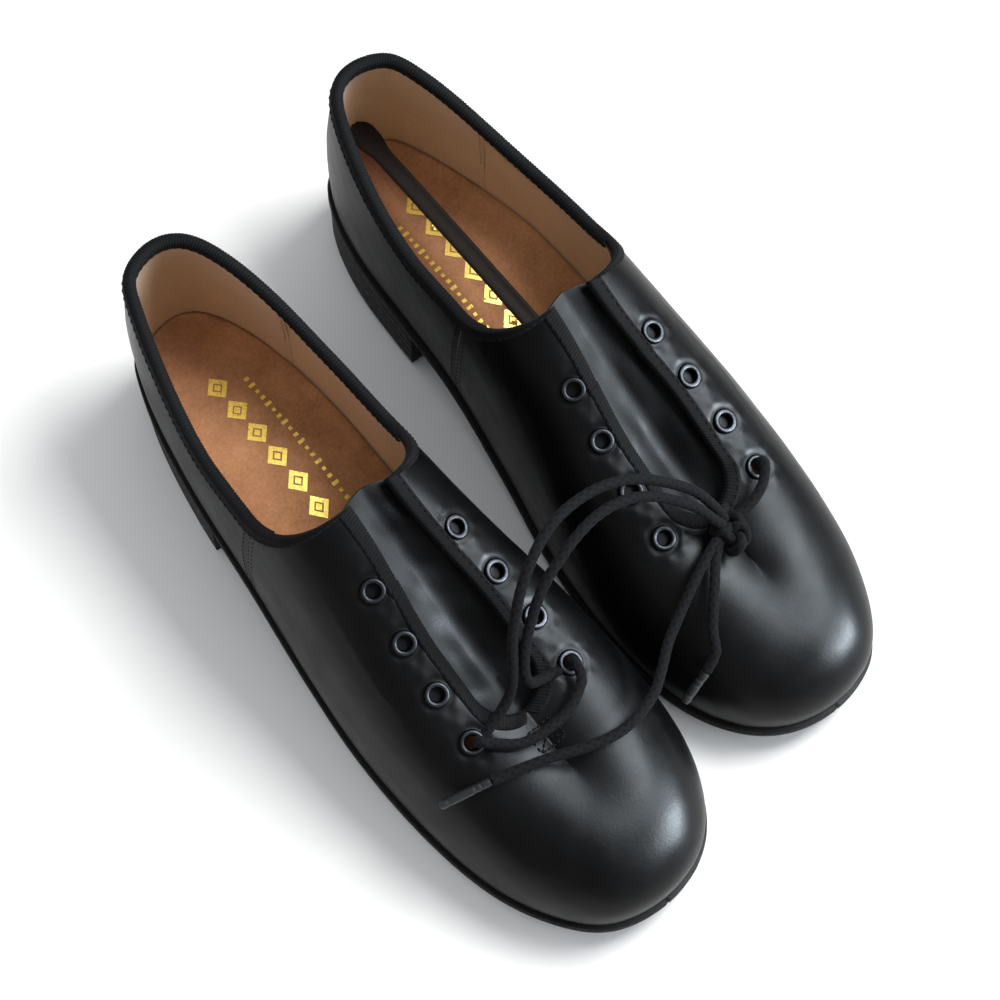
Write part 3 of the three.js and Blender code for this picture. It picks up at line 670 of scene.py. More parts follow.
def lace_tube(name, path, radius):
    """A braided round lace: strands cross over and under in two directions round the tube."""
    tangent, across, over = frames(path)
    turn = np.linspace(0, 2 * math.pi, BRAID_SIDES, endpoint=False)
    along = np.concatenate([[0], np.cumsum(np.linalg.norm(np.diff(path, axis=0), axis=1))])[:, None]
    spin = 2 * math.pi * along / BRAID_PITCH
    left, right = np.cos(4 * turn + spin), np.cos(4 * turn - spin)
    ridge = np.maximum(left, right)
    size = radius * (0.94 + 0.055 * ridge)
    ring = np.cos(turn)[None, :, None] * across[:, None] + np.sin(turn)[None, :, None] * over[:, None]
    # the ridge value also drives the painted shade in the braid material's grooves
    return loft(name, path[:, None] + ring * size[..., None], [BRAID], wear_and_painted_light=(ridge + 1) / 2, crease=80)


# ---------------------------------------------------------------- the upper as one grid

LOW_ROWS, HIGH_ROWS = 26, 40
TOE_GRID_AT = 246


def half_angles(side):
    stops = [
        (0, 1), (SIDE_SEAM_AT, 150), (FACING_STARTS[side], 24), (FACING_FRONT_AT, 190), (TOE_GRID_AT, 90),
    ]
    angles = []
    for (start, _), (end, count) in zip(stops, stops[1:]):
        angles.append(np.linspace(angle_at(start), angle_at(end), count, endpoint=False))
    angles.append(np.linspace(angle_at(TOE_GRID_AT), math.pi, 40))
    return np.concatenate(angles)


MEDIAL_ANGLES = half_angles(1)
LATERAL_ANGLES = half_angles(-1)
ANGLES = np.concatenate([-LATERAL_ANGLES[:0:-1], MEDIAL_ANGLES[:-1]])
TOPS = edge_rise(ANGLES)
JOINS = np.minimum(fold_rise(ANGLES), 0.92 * TOPS)
FEET = feather(ANGLES)[0]
COLUMN_SIDES = np.where(ANGLES < 0, -1, 1)


def grid_rises():
    low = JOINS[:, None] * np.linspace(0, 1, LOW_ROWS + 1)
    crowd = np.where(TOPS >= RIDGE, 1 / FORE_FULLNESS, 1.0)[:, None]
    share = (1 - np.linspace(0, 1, HIGH_ROWS + 1)[None, 1:]) ** crowd
    return np.concatenate([low, TOPS[:, None] + (JOINS - TOPS)[:, None] * share], 1)


RISES = grid_rises()
OUTSIDE = upper_point(ANGLES[:, None], RISES)
NORMALS = upper_normal(ANGLES[:, None], RISES)


def waves(points, size, seed):
    """A smooth wandering value between about -1 and 1, the same on every run."""
    random = np.random.default_rng(seed)
    total = 0
    for _ in range(7):
        direction = random.normal(size=3)
        direction *= 2 * math.pi / (size * random.uniform(0.6, 1.6)) / np.linalg.norm(direction)
        total = total + np.sin(points @ direction + random.uniform(0, 2 * math.pi))
    return total / 7 ** 0.5 / 1.3


def bell(distance, width):
    return np.exp(-(distance / width) ** 2)


WELT_OUT = 20.5


def relief(points, seed):
    """Height of the leather above the plain last: puckers, welts, seams and slow waves, in mm."""
    height = 0.16 * waves(points, 38, seed) + 0.05 * waves(points, 11, seed + 1)
    for side, sites in EYELETS.items():
        for place, _ in sites:
            apart = np.linalg.norm(points - place, axis=-1)
            around = np.arctan2(points[..., 0] - place[0], points[..., 1] - place[1])
            height = (
                height - 0.42 * bell(apart - 4.4, 1.3)
                + 0.10 * bell(apart - 7.0, 1.6) * np.cos(7 * around)
            )
    out = throat_distance(points)
    at = -points[..., 1]
    ahead = smooth((at - 118) / 14) * smooth((THROAT_CENTRE_AT + 6 - at) / 16)
    height = height + ahead * (0.12 / (1 + np.exp((out - WELT_OUT) / 1.4)) + 0.12 * bell(out - WELT_OUT, 0.9))
    return height


SEAM_DIP = 0.45


def seam_dip():
    """How far both skins sink toward the side seams and the back seam, column by column."""
    seam = upper_point(angle_at(SIDE_SEAM_AT) * COLUMN_SIDES, TOPS * 0.5)
    span = np.linalg.norm(upper_point(ANGLES, TOPS * 0.5) - seam, axis=-1)
    back = np.abs(OUTSIDE[:, LOW_ROWS // 2, 0] - OUTSIDE[len(LATERAL_ANGLES) - 1, LOW_ROWS // 2, 0])
    near_back = np.where(FEET < 20, back, 99)
    return SEAM_DIP * (bell(span, 0.9) + bell(near_back, 0.8))


DIPS = seam_dip()[:, None]


def skin_piece(name, shoe, mask, seed):
    """The part of the upper whose grid cells are in the mask, as a closed skin of leather."""
    columns, rows = RISES.shape
    lift = (relief(OUTSIDE, seed) - DIPS) * smooth(RISES / 0.12)
    outer = OUTSIDE + NORMALS * lift[..., None]
    inner = OUTSIDE - NORMALS * LEATHER
    points = np.concatenate([outer.reshape(-1, 3), inner.reshape(-1, 3)])
    c, r = np.nonzero(mask)
    nc = (c + 1) % columns
    a, b, d, e = c * rows + r, nc * rows + r, nc * rows + r + 1, c * rows + r + 1
    inside = columns * rows
    faces = [np.stack([a, b, d, e], -1), np.stack([e, d, b, a], -1) + inside]
    kinds = [np.zeros(len(c)), np.ones(len(c))]

    def rim(edge, first, second):
        i, j = first[edge], second[edge]
        faces.append(np.stack([i, i + inside, j + inside, j], -1))
        kinds.append(np.zeros(len(i)))

    empty = np.zeros((columns, 1), bool)
    lower = np.concatenate([empty, mask[:, :-1]], 1)
    upper = np.concatenate([mask[:, 1:], empty], 1)
    on_ridge = (TOPS >= RIDGE)[c] & (TOPS >= RIDGE)[nc] & (r == rows - 2)
    rim(~lower[c, r], a, b)
    rim(~upper[c, r] & ~on_ridge, e, d)
    rim(~np.roll(mask, 1, 0)[c, r], a, e)
    rim(~np.roll(mask, -1, 0)[c, r], b, d)
    return make_mesh(
        name, world(points, shoe), np.concatenate(faces), [BLACK, TAN], np.concatenate(kinds), crease=60,
    )


def masks():
    columns, rows = RISES.shape
    start = np.arange(columns)
    follow = (start + 1) % columns
    middle = (np.abs(ANGLES[start]) + np.abs(np.where(follow == 0, math.pi, ANGLES[follow]))) / 2
    at = feather(middle)[0]
    side = np.where((ANGLES[start] + np.where(follow == 0, math.pi, ANGLES[follow])) / 2 < 0, -1, 1)
    high = np.broadcast_to(np.arange(rows - 1) >= LOW_ROWS, (columns, rows - 1))
    facing_from = np.where(side < 0, FACING_STARTS[-1], FACING_STARTS[1])
    in_facing = ((at > facing_from) & (at < FACING_FRONT_AT))[:, None] & high
    found = {}
    for label, sign in SIDES.items():
        here = (side == sign)[:, None]
        found["quarter_" + label] = here & (at < SIDE_SEAM_AT)[:, None] & np.ones_like(high)
        found["facing_" + label] = here & in_facing
    found["vamp"] = (at >= SIDE_SEAM_AT)[:, None] & ~in_facing
    beside = np.roll(OUTSIDE, -1, 0)
    centres = (OUTSIDE[:, :-1] + OUTSIDE[:, 1:] + beside[:, :-1] + beside[:, 1:]) / 4
    for label, sign in SIDES.items():
        for place, _ in EYELETS[sign]:
            pierced = np.linalg.norm(centres - place, axis=-1) < (EYELET_BORE + EYELET_FLANGE) / 2
            found["facing_" + label] = found["facing_" + label] & ~pierced
    return found


MASKS = masks()


def hinge_span(side):
    """Two points at a facing's rear corner: the rear end of its edge, and that point moved square to the
    throat line toward the facing's top corner.
    """
    angle = angle_at(FACING_STARTS[side], side)
    rear = upper_point(angle, edge_rise(angle))
    front = upper_point(angle_at(THROAT_BASE_AT + 4, side), np.array(RIDGE))
    corner_angle = angle_at(FACING_TOP_AT, side)
    corner = upper_point(corner_angle, edge_rise(corner_angle))
    line = unit(front - rear)
    across = (corner - rear) - line * ((corner - rear) @ line)
    return rear, rear + across


def open_with_facing(piece, shoe, label):
    start, end = hinge_span(SIDES[label])
    Vector(world(start, shoe) * MM)
    Vector(world(end, shoe) * MM)
    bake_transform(piece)


# ---------------------------------------------------------------- stitches

STITCH_LENGTH, STITCH_PITCH, STITCH_RADIUS = 1.9, 2.6, 0.21
STITCH_RINGS, STITCH_SIDES = 5, 6


def stitches(name, lines, material, length=STITCH_LENGTH, pitch=STITCH_PITCH, radius=STITCH_RADIUS):
    """Short arched threads along lines of (points, normals)."""
    points, faces = [], []
    share = np.linspace(-1, 1, STITCH_RINGS)
    turn = np.linspace(0, 2 * math.pi, STITCH_SIDES, endpoint=False)
    for line, normal in lines:
        travel = np.concatenate([[0], np.cumsum(np.linalg.norm(np.diff(line, axis=0), axis=1))])
        count = int(travel[-1] / pitch)
        for place in (np.arange(count) + 0.5) * travel[-1] / max(count, 1):
            middle = np.array([np.interp(place, travel, line[:, k]) for k in range(3)])
            ahead = np.array([np.interp(place + 0.5, travel, line[:, k]) for k in range(3)])
            behind = np.array([np.interp(place - 0.5, travel, line[:, k]) for k in range(3)])
            up = np.array([np.interp(place, travel, normal[:, k]) for k in range(3)])
            along, up = unit(ahead - behind), unit(up)
            side = np.cross(along, up)
            size = radius * (1 - 0.45 * share ** 2)
            centre = middle + np.outer(share, along) * length / 2 + np.outer(0.05 - 0.3 * share ** 2, up)
            ring = np.cos(turn)[:, None] * side + np.sin(turn)[:, None] * up
            first = len(points) * STITCH_SIDES * STITCH_RINGS
            points.append((centre[:, None] + ring[None] * size[:, None, None]).reshape(-1, 3))
            faces.extend((grid_faces(STITCH_RINGS, STITCH_SIDES, wrap_rows=True) + first).tolist())
            faces.append([first + i for i in range(STITCH_SIDES)])
            last = first + (STITCH_RINGS - 1) * STITCH_SIDES
            faces.append([last + i for i in reversed(range(STITCH_SIDES))])
    return make_mesh(name, np.concatenate(points), faces, [material], crease=70)


def surface_line(angles, rises, shoe, depth=0.0, seed=None):
    points, normals = at_depth(angles, rises, np.full(np.shape(angles), depth)), upper_normal(angles, rises)
    if seed is not None:
        points = points + normals * relief(points, seed)[..., None]
    return world(points, shoe), world_direction(normals, shoe)


# ---------------------------------------------------------------- bindings

RIB_PITCH, RIB_STEP, RIB_HEIGHT = 1.05, 0.26, 0.11
TAPE_OUT, TAPE_DROP_OUT, TAPE_DROP_IN = 0.55, 4.6, 4.0
TAPE_SAMPLES = 9
TAPE_CORE_DROP = 1.2


def even_angles(angle_from, angle_to, step):
    dense = np.linspace(angle_from, angle_to, 3000)
    edge = upper_point(dense, edge_rise(dense))
    travel = np.concatenate([[0], np.cumsum(np.linalg.norm(np.diff(edge, axis=0), axis=1))])
    places = np.arange(0, travel[-1] + step / 2, step)
    return np.interp(places, travel, dense), places


def tape(name, shoe, angle_from, angle_to, inner_depth):
    """A ribbed tape folded over the upper's top edge, as one closed loft."""
    angles, places = even_angles(angle_from, angle_to, RIB_STEP)
    tops = edge_rise(angles)
    top_point, normal = upper_point(angles, tops), upper_normal(angles, tops)
    up = unit(top_point - upper_point(angles, tops - 0.02))
    half = (inner_depth + 2 * TAPE_OUT) / 2
    middle_depth = inner_depth / 2
    rib = RIB_HEIGHT * np.cos(2 * math.pi * places / RIB_PITCH)
    ring = []
    outer_drops = np.linspace(TAPE_DROP_OUT, 0.4, TAPE_SAMPLES)
    for i, drop in enumerate(outer_drops):
        rises = drop_rise(angles, tops, drop)
        lift = 0.12 if i == 0 else TAPE_OUT
        ring.append(at_depth(angles, rises, -(lift + rib * min(i, 1))))
    for turn in np.linspace(0, math.pi, 9)[1:-1]:
        depth = middle_depth - (half + rib) * math.cos(turn)
        rise_up = (0.9 + rib) * math.sin(turn) - 0.4 * abs(math.cos(turn))
        ring.append(top_point - normal * depth[:, None] + up * rise_up[:, None])
    for i, drop in enumerate(np.linspace(0.4, TAPE_DROP_IN, TAPE_SAMPLES)):
        rises = drop_rise(angles, tops, drop)
        lift = 0.12 if i == TAPE_SAMPLES - 1 else TAPE_OUT
        ring.append(at_depth(angles, rises, inner_depth + lift + rib * (i < TAPE_SAMPLES - 1)))
    inset = 0.35
    for drop, depth in (
        (TAPE_DROP_IN, inner_depth - inset), (TAPE_CORE_DROP, inner_depth - inset),
        (TAPE_CORE_DROP, inset), (TAPE_DROP_OUT, inset),
    ):
        ring.append(at_depth(angles, drop_rise(angles, tops, drop), np.full_like(angles, depth)))
    return loft(name, world(np.stack(ring, 1), shoe), [TAPE], crease=70)


# ---------------------------------------------------------------- pieces of one shoe

EYELET_SEGMENTS = 40


def axes_for(normal):
    normal = unit(np.asarray(normal, float))
    first = unit(np.cross(normal, [0.0, 1.0, 0.2]))
    return first, np.cross(normal, first), normal


def turned(name, profile, place, normal, materials, wear_and_painted_light=None, segments=EYELET_SEGMENTS, crease=50):
    """A ring or disc turned about a normal: profile points are (radius, height) round a closed section."""
    first, second, third = axes_for(normal)
    profile = np.asarray(profile, float)
    turn = np.linspace(0, 2 * math.pi, segments, endpoint=False)[:, None, None]
    radius, height = profile[None, :, :1], profile[None, :, 1:]
    points = place + (np.cos(turn) * first + np.sin(turn) * second) * radius + third * height
    faces = grid_faces(segments, len(profile), wrap_columns=True, wrap_rows=True)
    marks = None if wear_and_painted_light is None else np.broadcast_to(wear_and_painted_light, (segments, len(profile))).reshape(-1)
    return make_mesh(name, points.reshape(-1, 3), faces, materials, wear_and_painted_light=marks, crease=crease)


def rolled_ring(bore, flange, height, depth, samples=16):
    """The section of an eyelet: a barrel whose top is rolled over into a flange."""
    middle, half = (bore + flange) / 2, (flange - bore) / 2
    arc = np.linspace(0, math.pi, samples)
    rolled = np.stack([middle + half * np.cos(arc), height * np.sin(arc) ** 0.8 + 0.02], -1)
    barrel = [(bore, -depth), (bore + 0.45, -depth), (bore + 0.5, -0.35), (flange - 0.3, -0.35)]
    return np.vstack([rolled, barrel])


# a thin dark disc under each eyelet hole: painted shade for the inside of the hole
SHADE_DISC_HOLE, SHADE_DISC_RADIUS, SHADE_DISC_TOP, SHADE_DISC_UNDER = 0.05, 3.1, -1.75, -2.1
SHADE_DISC = [
    (SHADE_DISC_HOLE, SHADE_DISC_TOP), (SHADE_DISC_RADIUS, SHADE_DISC_TOP),
    (SHADE_DISC_RADIUS, SHADE_DISC_UNDER), (SHADE_DISC_HOLE, SHADE_DISC_UNDER),
]


def add_eyelets(shoe, label):
    """Eyelets, and behind each unlaced one a dark disc of painted shade that darkens the hole."""
    nodes = [f"{shoe}_eyelet_{label}_{i + 1}" for i in range(EYELET_COUNT)]
    section = rolled_ring(EYELET_BORE, EYELET_FLANGE, 0.95, LEATHER + 0.5)
    # the top of each rolled flange gets the lighter metal colour: a painted highlight round the ring
    shine = np.clip((section[:, 1] - 0.75) / 0.2, 0, 1)
    for index, (place, normal) in enumerate(EYELETS[SIDES[label]]):
        middle, up = world(place - normal * 0.2, shoe), world_direction(normal, shoe)
        ring = turned(f"{shoe}_{label}_ring_{index + 1}", section, middle, up, [EYELET_METAL], shine)
        open_with_facing(ring, shoe, label)
        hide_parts(nodes[index])
        if index < EYELET_COUNT - 1 or (shoe, label) == ("left", "medial"):
            # a dark disc under the hole stands in for the shade inside it
            shade_disc = turned(f"{shoe}_{label}_backing_{index + 1}", SHADE_DISC, middle, up, [TONGUE_SKIN])
            open_with_facing(shade_disc, shoe, label)


def lining_piece(shoe):
    end = angle_at(LINING_END_AT + 3)
    angles = np.linspace(-end, end, 260)
    tops = drop_rise(angles, edge_rise(angles), 0.9)
    share = np.linspace(0, 1, 36)[None]
    rises = 0.03 + (tops[:, None] - 0.03) * share
    depth = LEATHER + GAP * 0.5
    outer = at_depth(angles[:, None], rises, np.full(rises.shape, depth))
    wave = 0.22 * waves(outer, 26, 5) * smooth(share / 0.2) * smooth((1 - share) / 0.15)
    inner = at_depth(angles[:, None], rises, depth + LINING + wave)
    ring = np.concatenate([outer, inner[:, ::-1]], 1)
    piece = loft(f"{shoe}_inner_lining", world(ring, shoe), [TAN], crease=60)
    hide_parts(f"{shoe}_lining")
    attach(piece, f"{shoe}_shoe")


GRIP_END_AT = 42
INNER = LEATHER + GAP * 0.5 + LINING


def heel_grip(shoe):
    """A suede patch round the inside of the heel, sewn along its front edges."""
    end = angle_at(GRIP_END_AT)
    angles = np.linspace(-end, end, 140)
    tops = drop_rise(angles, edge_rise(angles), 3.6)
    share = np.linspace(0, 1, 26)[None]
    rises = 0.06 + (tops[:, None] - 0.06) * share
    outer = at_depth(angles[:, None], rises, np.full(rises.shape, INNER - 0.3))
    fade = smooth((end - np.abs(angles)) / 0.05)[:, None]
    wave = 0.12 * waves(outer, 17, 9)
    inner = at_depth(angles[:, None], rises, INNER + 0.05 + (0.55 + wave) * np.minimum(1, 0.25 + fade))
    ring = np.concatenate([outer, inner[:, ::-1]], 1)
    piece = loft(f"{shoe}_heel_grip", world(ring, shoe), [GRIP], crease=60)
    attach(piece, f"{shoe}_shoe")
    lines = []
    for side in (1, -1):
        rises = np.linspace(0.25, float(edge_rise(angle_at(GRIP_END_AT, side))) * 0.9, 60)
        where = np.full(60, float(angle_at(GRIP_END_AT - 1.4, side)))
        points, normal = surface_line(where, rises, shoe, INNER + 0.75)
        lines.append((points, -normal))
    sewn = stitches(f"{shoe}_heel_grip_stitches", lines, TAN_THREAD, 1.7, 2.5, 0.22)
    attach(sewn, f"{shoe}_shoe")


SOCK_COLUMNS, SOCK_ROWS = 150, 60


def slab_points(shoe, inset, bottom, top, columns=SOCK_COLUMNS, rows=SOCK_ROWS, edge=0.5):
    """Sections across a slab whose top edge is rounded off, heel to toe."""
    angles = np.linspace(0.012, math.pi - 0.012, columns)
    medial, lateral = offset_feather(angles, -inset), offset_feather(-angles, -inset)
    share = np.linspace(0, 1, rows)[None]
    at = medial[0][:, None] + (lateral[0] - medial[0])[:, None] * share
    across = medial[1][:, None] + (lateral[1] - medial[1])[:, None] * share
    width = np.abs(medial[1] - lateral[1])[:, None]
    near = np.minimum(share, 1 - share) * width
    rounding = edge * (1 - smooth(near / (2 * edge))) ** 2
    upper_side = np.stack([across, -at, top(at, across, near) - rounding], -1)
    lower_side = np.stack([across, -at, bottom(at)], -1)
    return world(np.concatenate([upper_side, lower_side[:, ::-1]], 1), shoe)


def sock_top(at, across, near):
    height = seat_height(at) + 2 * GAP + BOARD + LINER
    points = np.stack([across, -at, height], -1)
    heel_press = -0.35 * bell(np.hypot(across, (at - 30) * 0.7), 14)
    press = heel_press - 0.25 * bell(np.hypot(across, (at - 165) * 0.6), 20)
    return height + 0.12 * waves(points, 30, 21) + press + 1.1 * (1 - smooth(near / 5.0))


def sock_piece(shoe):
    inset = LEATHER + LINING + 2.5 * GAP - 0.35

    def bottom(at):
        return seat_height(at) + 2 * GAP + BOARD
    points = slab_points(shoe, inset, bottom, sock_top)
    piece = loft(f"{shoe}_sock", points, [SUEDE], crease=60)
    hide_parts(f"{shoe}_sock_liner")
    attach(piece, f"{shoe}_shoe")


STAMP_THICKNESS = 0.24
DIAMONDS, DIAMOND_FROM, DIAMOND_PITCH, DIAMOND_ACROSS = 7, 33, 10.6, -2.5
BARS, BAR_FROM, BAR_PITCH, BAR_ACROSS, BAR_WIDTH = 20, 36, 2.9, 6.8, 1.2
BAR_LENGTHS = (1.6, 2.4, 1.2)


def stamp(shoe):
    """A generic gilt device on the sock: a row of diamonds beside a row of short bars."""
    points, faces = [], []

    def plate(corners):
        corners = np.asarray(corners, float)
        at, across = -corners[:, 1], corners[:, 0]
        far = np.full(len(corners), 40.0)
        height = sock_top(at, across, far)
        first = len(points)
        count = len(corners)
        for lift in (STAMP_THICKNESS, -STAMP_THICKNESS):
            points.extend(np.stack([across, -at, height + lift], -1).tolist())
        faces.append([first + i for i in range(count)])
        faces.append([first + count + i for i in reversed(range(count))])
        for i in range(count):
            j = (i + 1) % count
            faces.append([first + i, first + count + i, first + count + j, first + j])

    def diamond(across, at, wide, long, band):
        outer = np.array([
            (across + wide, -at), (across, -at - long), (across - wide, -at), (across, -at + long),
        ])
        middle = np.array([across, -at])
        inner = middle + (outer - middle) * band
        for i in range(4):
            j = (i + 1) % 4
            plate([outer[i], outer[j], inner[j], inner[i]])

    for index in range(DIAMONDS):
        at = DIAMOND_FROM + index * DIAMOND_PITCH
        diamond(DIAMOND_ACROSS, at, 4.1, 4.5, 0.5)
        diamond(DIAMOND_ACROSS, at, 1.3, 1.5, 0.01)
    for index in range(BARS):
        at = BAR_FROM + index * BAR_PITCH
        tall = BAR_LENGTHS[index % len(BAR_LENGTHS)]
        near, far = BAR_ACROSS + tall / 2, BAR_ACROSS - tall / 2
        plate([(near, -at), (near, -at - BAR_WIDTH), (far, -at - BAR_WIDTH), (far, -at)])
    piece = make_mesh(f"{shoe}_gilt_stamp", world(points, shoe), faces, [GOLD], crease=30)
    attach(piece, f"{shoe}_shoe")


TONGUE_COLUMNS, TONGUE_ROWS = 110, 56


def tongue_piece(shoe):
    angles = np.linspace(angle_at(TONGUE_REAR_AT), angle_at(TONGUE_FRONT_AT), TONGUE_COLUMNS)
    t = (feather(angles)[0] - TONGUE_REAR_AT) / (TONGUE_FRONT_AT - TONGUE_REAR_AT)
    corner = 9.0
    run = np.clip((feather(angles)[0] - TONGUE_REAR_AT) * 0.7, 0, corner)
    trim = corner - np.sqrt(np.maximum(0, corner ** 2 - (corner - run) ** 2))
    half = TONGUE_REAR_HALF + (TONGUE_FRONT_HALF - TONGUE_REAR_HALF) * t - trim

    def surface(depth_of):
        sheets = []
        for side in (-1, 1):
            low = half_width_rise(side * angles, half)
            share = np.linspace(0, 1, TONGUE_ROWS // 2)[None]
            share = share if side < 0 else share[:, ::-1]
            rises = RIDGE - (RIDGE - low)[:, None] * (1 - share) ** (1 / FORE_FULLNESS)
            plain = upper_point((side * angles)[:, None], rises)
            across = (plain[..., 0] - RIDGE_OFFSET) / TONGUE_REAR_HALF
            depth = depth_of(plain, across, t[:, None])
            sheet = at_depth((side * angles)[:, None], rises, depth)
            sheets.append(sheet if side < 0 else sheet[:, 1:])
        return np.concatenate(sheets, 1)

    outside = LEATHER + TONGUE_GAP

    def top_depth(plain, across, t):
        sag = 0.55 * bell(across, 0.35) * smooth(t / 0.12)
        wrinkle = 0.30 * waves(plain, 15, 31) * smooth(t / 0.08)
        edge = 0.5 * smooth((np.abs(across) - 0.75) / 0.25)
        return outside + sag - wrinkle + edge

    top = surface(top_depth)
    under = surface(lambda plain, across, t: top_depth(plain, across, t) + TONGUE)
    ring = np.concatenate([top, under[:, ::-1]], 1)
    piece = loft(f"{shoe}_tongue_pad", world(ring, shoe), [TONGUE_SKIN], crease=60)
    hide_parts(f"{shoe}_tongue")
    start = world(np.array([RIDGE_OFFSET, -188, 52]), shoe)
    end = world(np.array([RIDGE_OFFSET, -172, 54]), shoe)
    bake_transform(piece)


def solid_between(name, shoe, angles, offset, bottom, top, materials, bevel, grooves=()):
    """A sole layer lofted heel to toe, with rounded edges and optional grooves round its side."""
    at_rim = feather(angles)[0]
    sections = []
    for angle, at in zip(angles, at_rim):
        low, high = float(bottom(at)), float(top(at))
        side = [(-2.5 * bevel, low), (-bevel, low), (-bevel * 0.3, low + bevel * 0.3), (0, low + bevel)]
        for groove in grooves:
            z = low + (high - low) * groove
            side += [(0, z - 0.35), (-0.4, z - 0.12), (-0.4, z + 0.12), (0, z + 0.35)]
        side += [(0, high - bevel), (-bevel * 0.3, high - bevel * 0.3), (-bevel, high), (-2.5 * bevel, high)]
        ring = []
        for sign, run in ((1, side), (-1, list(reversed(side)))):
            for out, z in run:
                edge_at, edge_across = offset_feather(np.array(sign * angle), offset + out)
                ring.append((float(edge_across), -float(edge_at), z))
        sections.append(ring)
    return loft(name, world(np.array(sections), shoe), materials, crease=40)


def outsole_bottom(at):
    return seat_height(at) - OUTSOLE


def tap_bottom(at):
    return outsole_bottom(at) - TAP - GAP / 2


FLOOR_LIFT = BALL_SEAT - OUTSOLE - TAP - GAP / 2


def sole_stack(shoe):
    full = np.linspace(0.01, math.pi - 0.01, 170)
    outsole = solid_between(
        f"{shoe}_sole", shoe, full, OUTSOLE_EDGE, outsole_bottom, seat_height, [SOLE], 0.8, (0.62,),
    )
    heel_angles = np.linspace(0.01, float(angle_at(HEEL_BLOCK_TO)), 60)
    heel = solid_between(
        f"{shoe}_heel", shoe, heel_angles, OUTSOLE_EDGE - HEEL_BLOCK_INSET,
        lambda at: FLOOR_LIFT + TAP + GAP / 2, lambda at: outsole_bottom(at) - GAP / 2, [HEEL], 0.5,
        (0.2, 0.4, 0.6, 0.8),
    )
    heel_tap = solid_between(
        f"{shoe}_heel_plate", shoe, np.linspace(0.012, float(angle_at(HEEL_TAP_TO)), 60), -TAP_INSET,
        lambda at: FLOOR_LIFT, lambda at: FLOOR_LIFT + TAP, [TAP_METAL], 0.6,
    )
    toe_tap = solid_between(
        f"{shoe}_toe_plate", shoe, np.linspace(float(angle_at(TOE_TAP_FROM)), math.pi - 0.012, 80),
        -TAP_INSET, tap_bottom, lambda at: tap_bottom(at) + TAP, [TAP_METAL], 0.6,
    )
    named = (
        (outsole, "outsole", "sole"), (heel, "heel_block", "heel"),
        (heel_tap, "heel_tap", "tap"), (toe_tap, "toe_tap", "tap"),
    )
    for piece, node, slot in named:
        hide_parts(f"{shoe}_{node}")
        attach(piece, f"{shoe}_shoe")


SCREW_RINGS, SCREW_TURNS = 22, 72
SCREW_RADIUS = 3.0


def screw_head(name, node, shoe):
    """A countersunk cross-slot screw head, seen from under the tap."""
    low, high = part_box(node)
    middle = np.array([(low[0] + high[0]) / 2, (low[1] + high[1]) / 2, low[2]]) / MM
    radius = np.linspace(0, SCREW_RADIUS, SCREW_RINGS)[:, None]
    turn = np.linspace(0, 2 * math.pi, SCREW_TURNS, endpoint=False)[None]
    x, y = radius * np.cos(turn), radius * np.sin(turn)
    slot = np.maximum(1 - smooth((np.abs(x) - 0.28) / 0.2), 1 - smooth((np.abs(y) - 0.28) / 0.2))
    slot = slot * (1 - smooth((radius - 1.55) / 0.35))
    face = 0.85 * slot + 0.16 * smooth((radius - 2.5) / 0.5)
    sheet = np.stack([middle[0] + x, middle[1] + y, middle[2] + face], -1)
    neck = [(SCREW_RADIUS * 0.98, 0.35), (1.5, 1.6), (1.5, 4.0), (0.0, 4.0)]
    rings = [sheet]
    for size, height in neck:
        rings.append(np.stack([
            middle[0] + size * np.cos(turn), middle[1] + size * np.sin(turn), middle[2] + height + 0 * turn,
        ], -1))
    points = np.concatenate([r.reshape(-1, SCREW_TURNS, 3) for r in rings])
    faces = grid_faces(len(points), SCREW_TURNS, wrap_rows=True)
    wear_and_painted_light = np.concatenate([
        (1 - slot).reshape(SCREW_RINGS, -1), np.zeros((len(neck), SCREW_TURNS)),
    ]).reshape(-1)
    piece = make_mesh(name, points.reshape(-1, 3), faces, [SCREW_METAL], wear_and_painted_light=wear_and_painted_light, crease=35)
    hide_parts(node)
    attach(piece, f"{shoe}_shoe")


def add_bindings(shoe):
    body = f"{shoe}_shoe"
    starts = {side: float(angle_at(FACING_STARTS[side], side)) for side in (1, -1)}
    collar = tape(f"{shoe}_collar_tape", shoe, starts[-1], starts[1], INNER)
    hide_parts(f"{shoe}_collar_binding")
    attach(collar, body)
    for label, side in SIDES.items():
        front = float(angle_at(FACING_FRONT_AT, side))
        edge = tape(f"{shoe}_{label}_facing_tape", shoe, starts[side], front, LEATHER + 0.2)
        open_with_facing(edge, shoe, label)
        tip = float(angle_at(THROAT_TIP_AT - 0.05, side))
        rest = tape(f"{shoe}_{label}_throat_tape", shoe, front, tip, LEATHER + 0.2)
        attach(rest, body)


THROAT_TIP_AT = (THROAT_CENTRE_AT + THROAT_WIDE[1] - RIDGE_REAR) * UPPER_LENGTH / (RIDGE_FRONT - RIDGE_REAR)


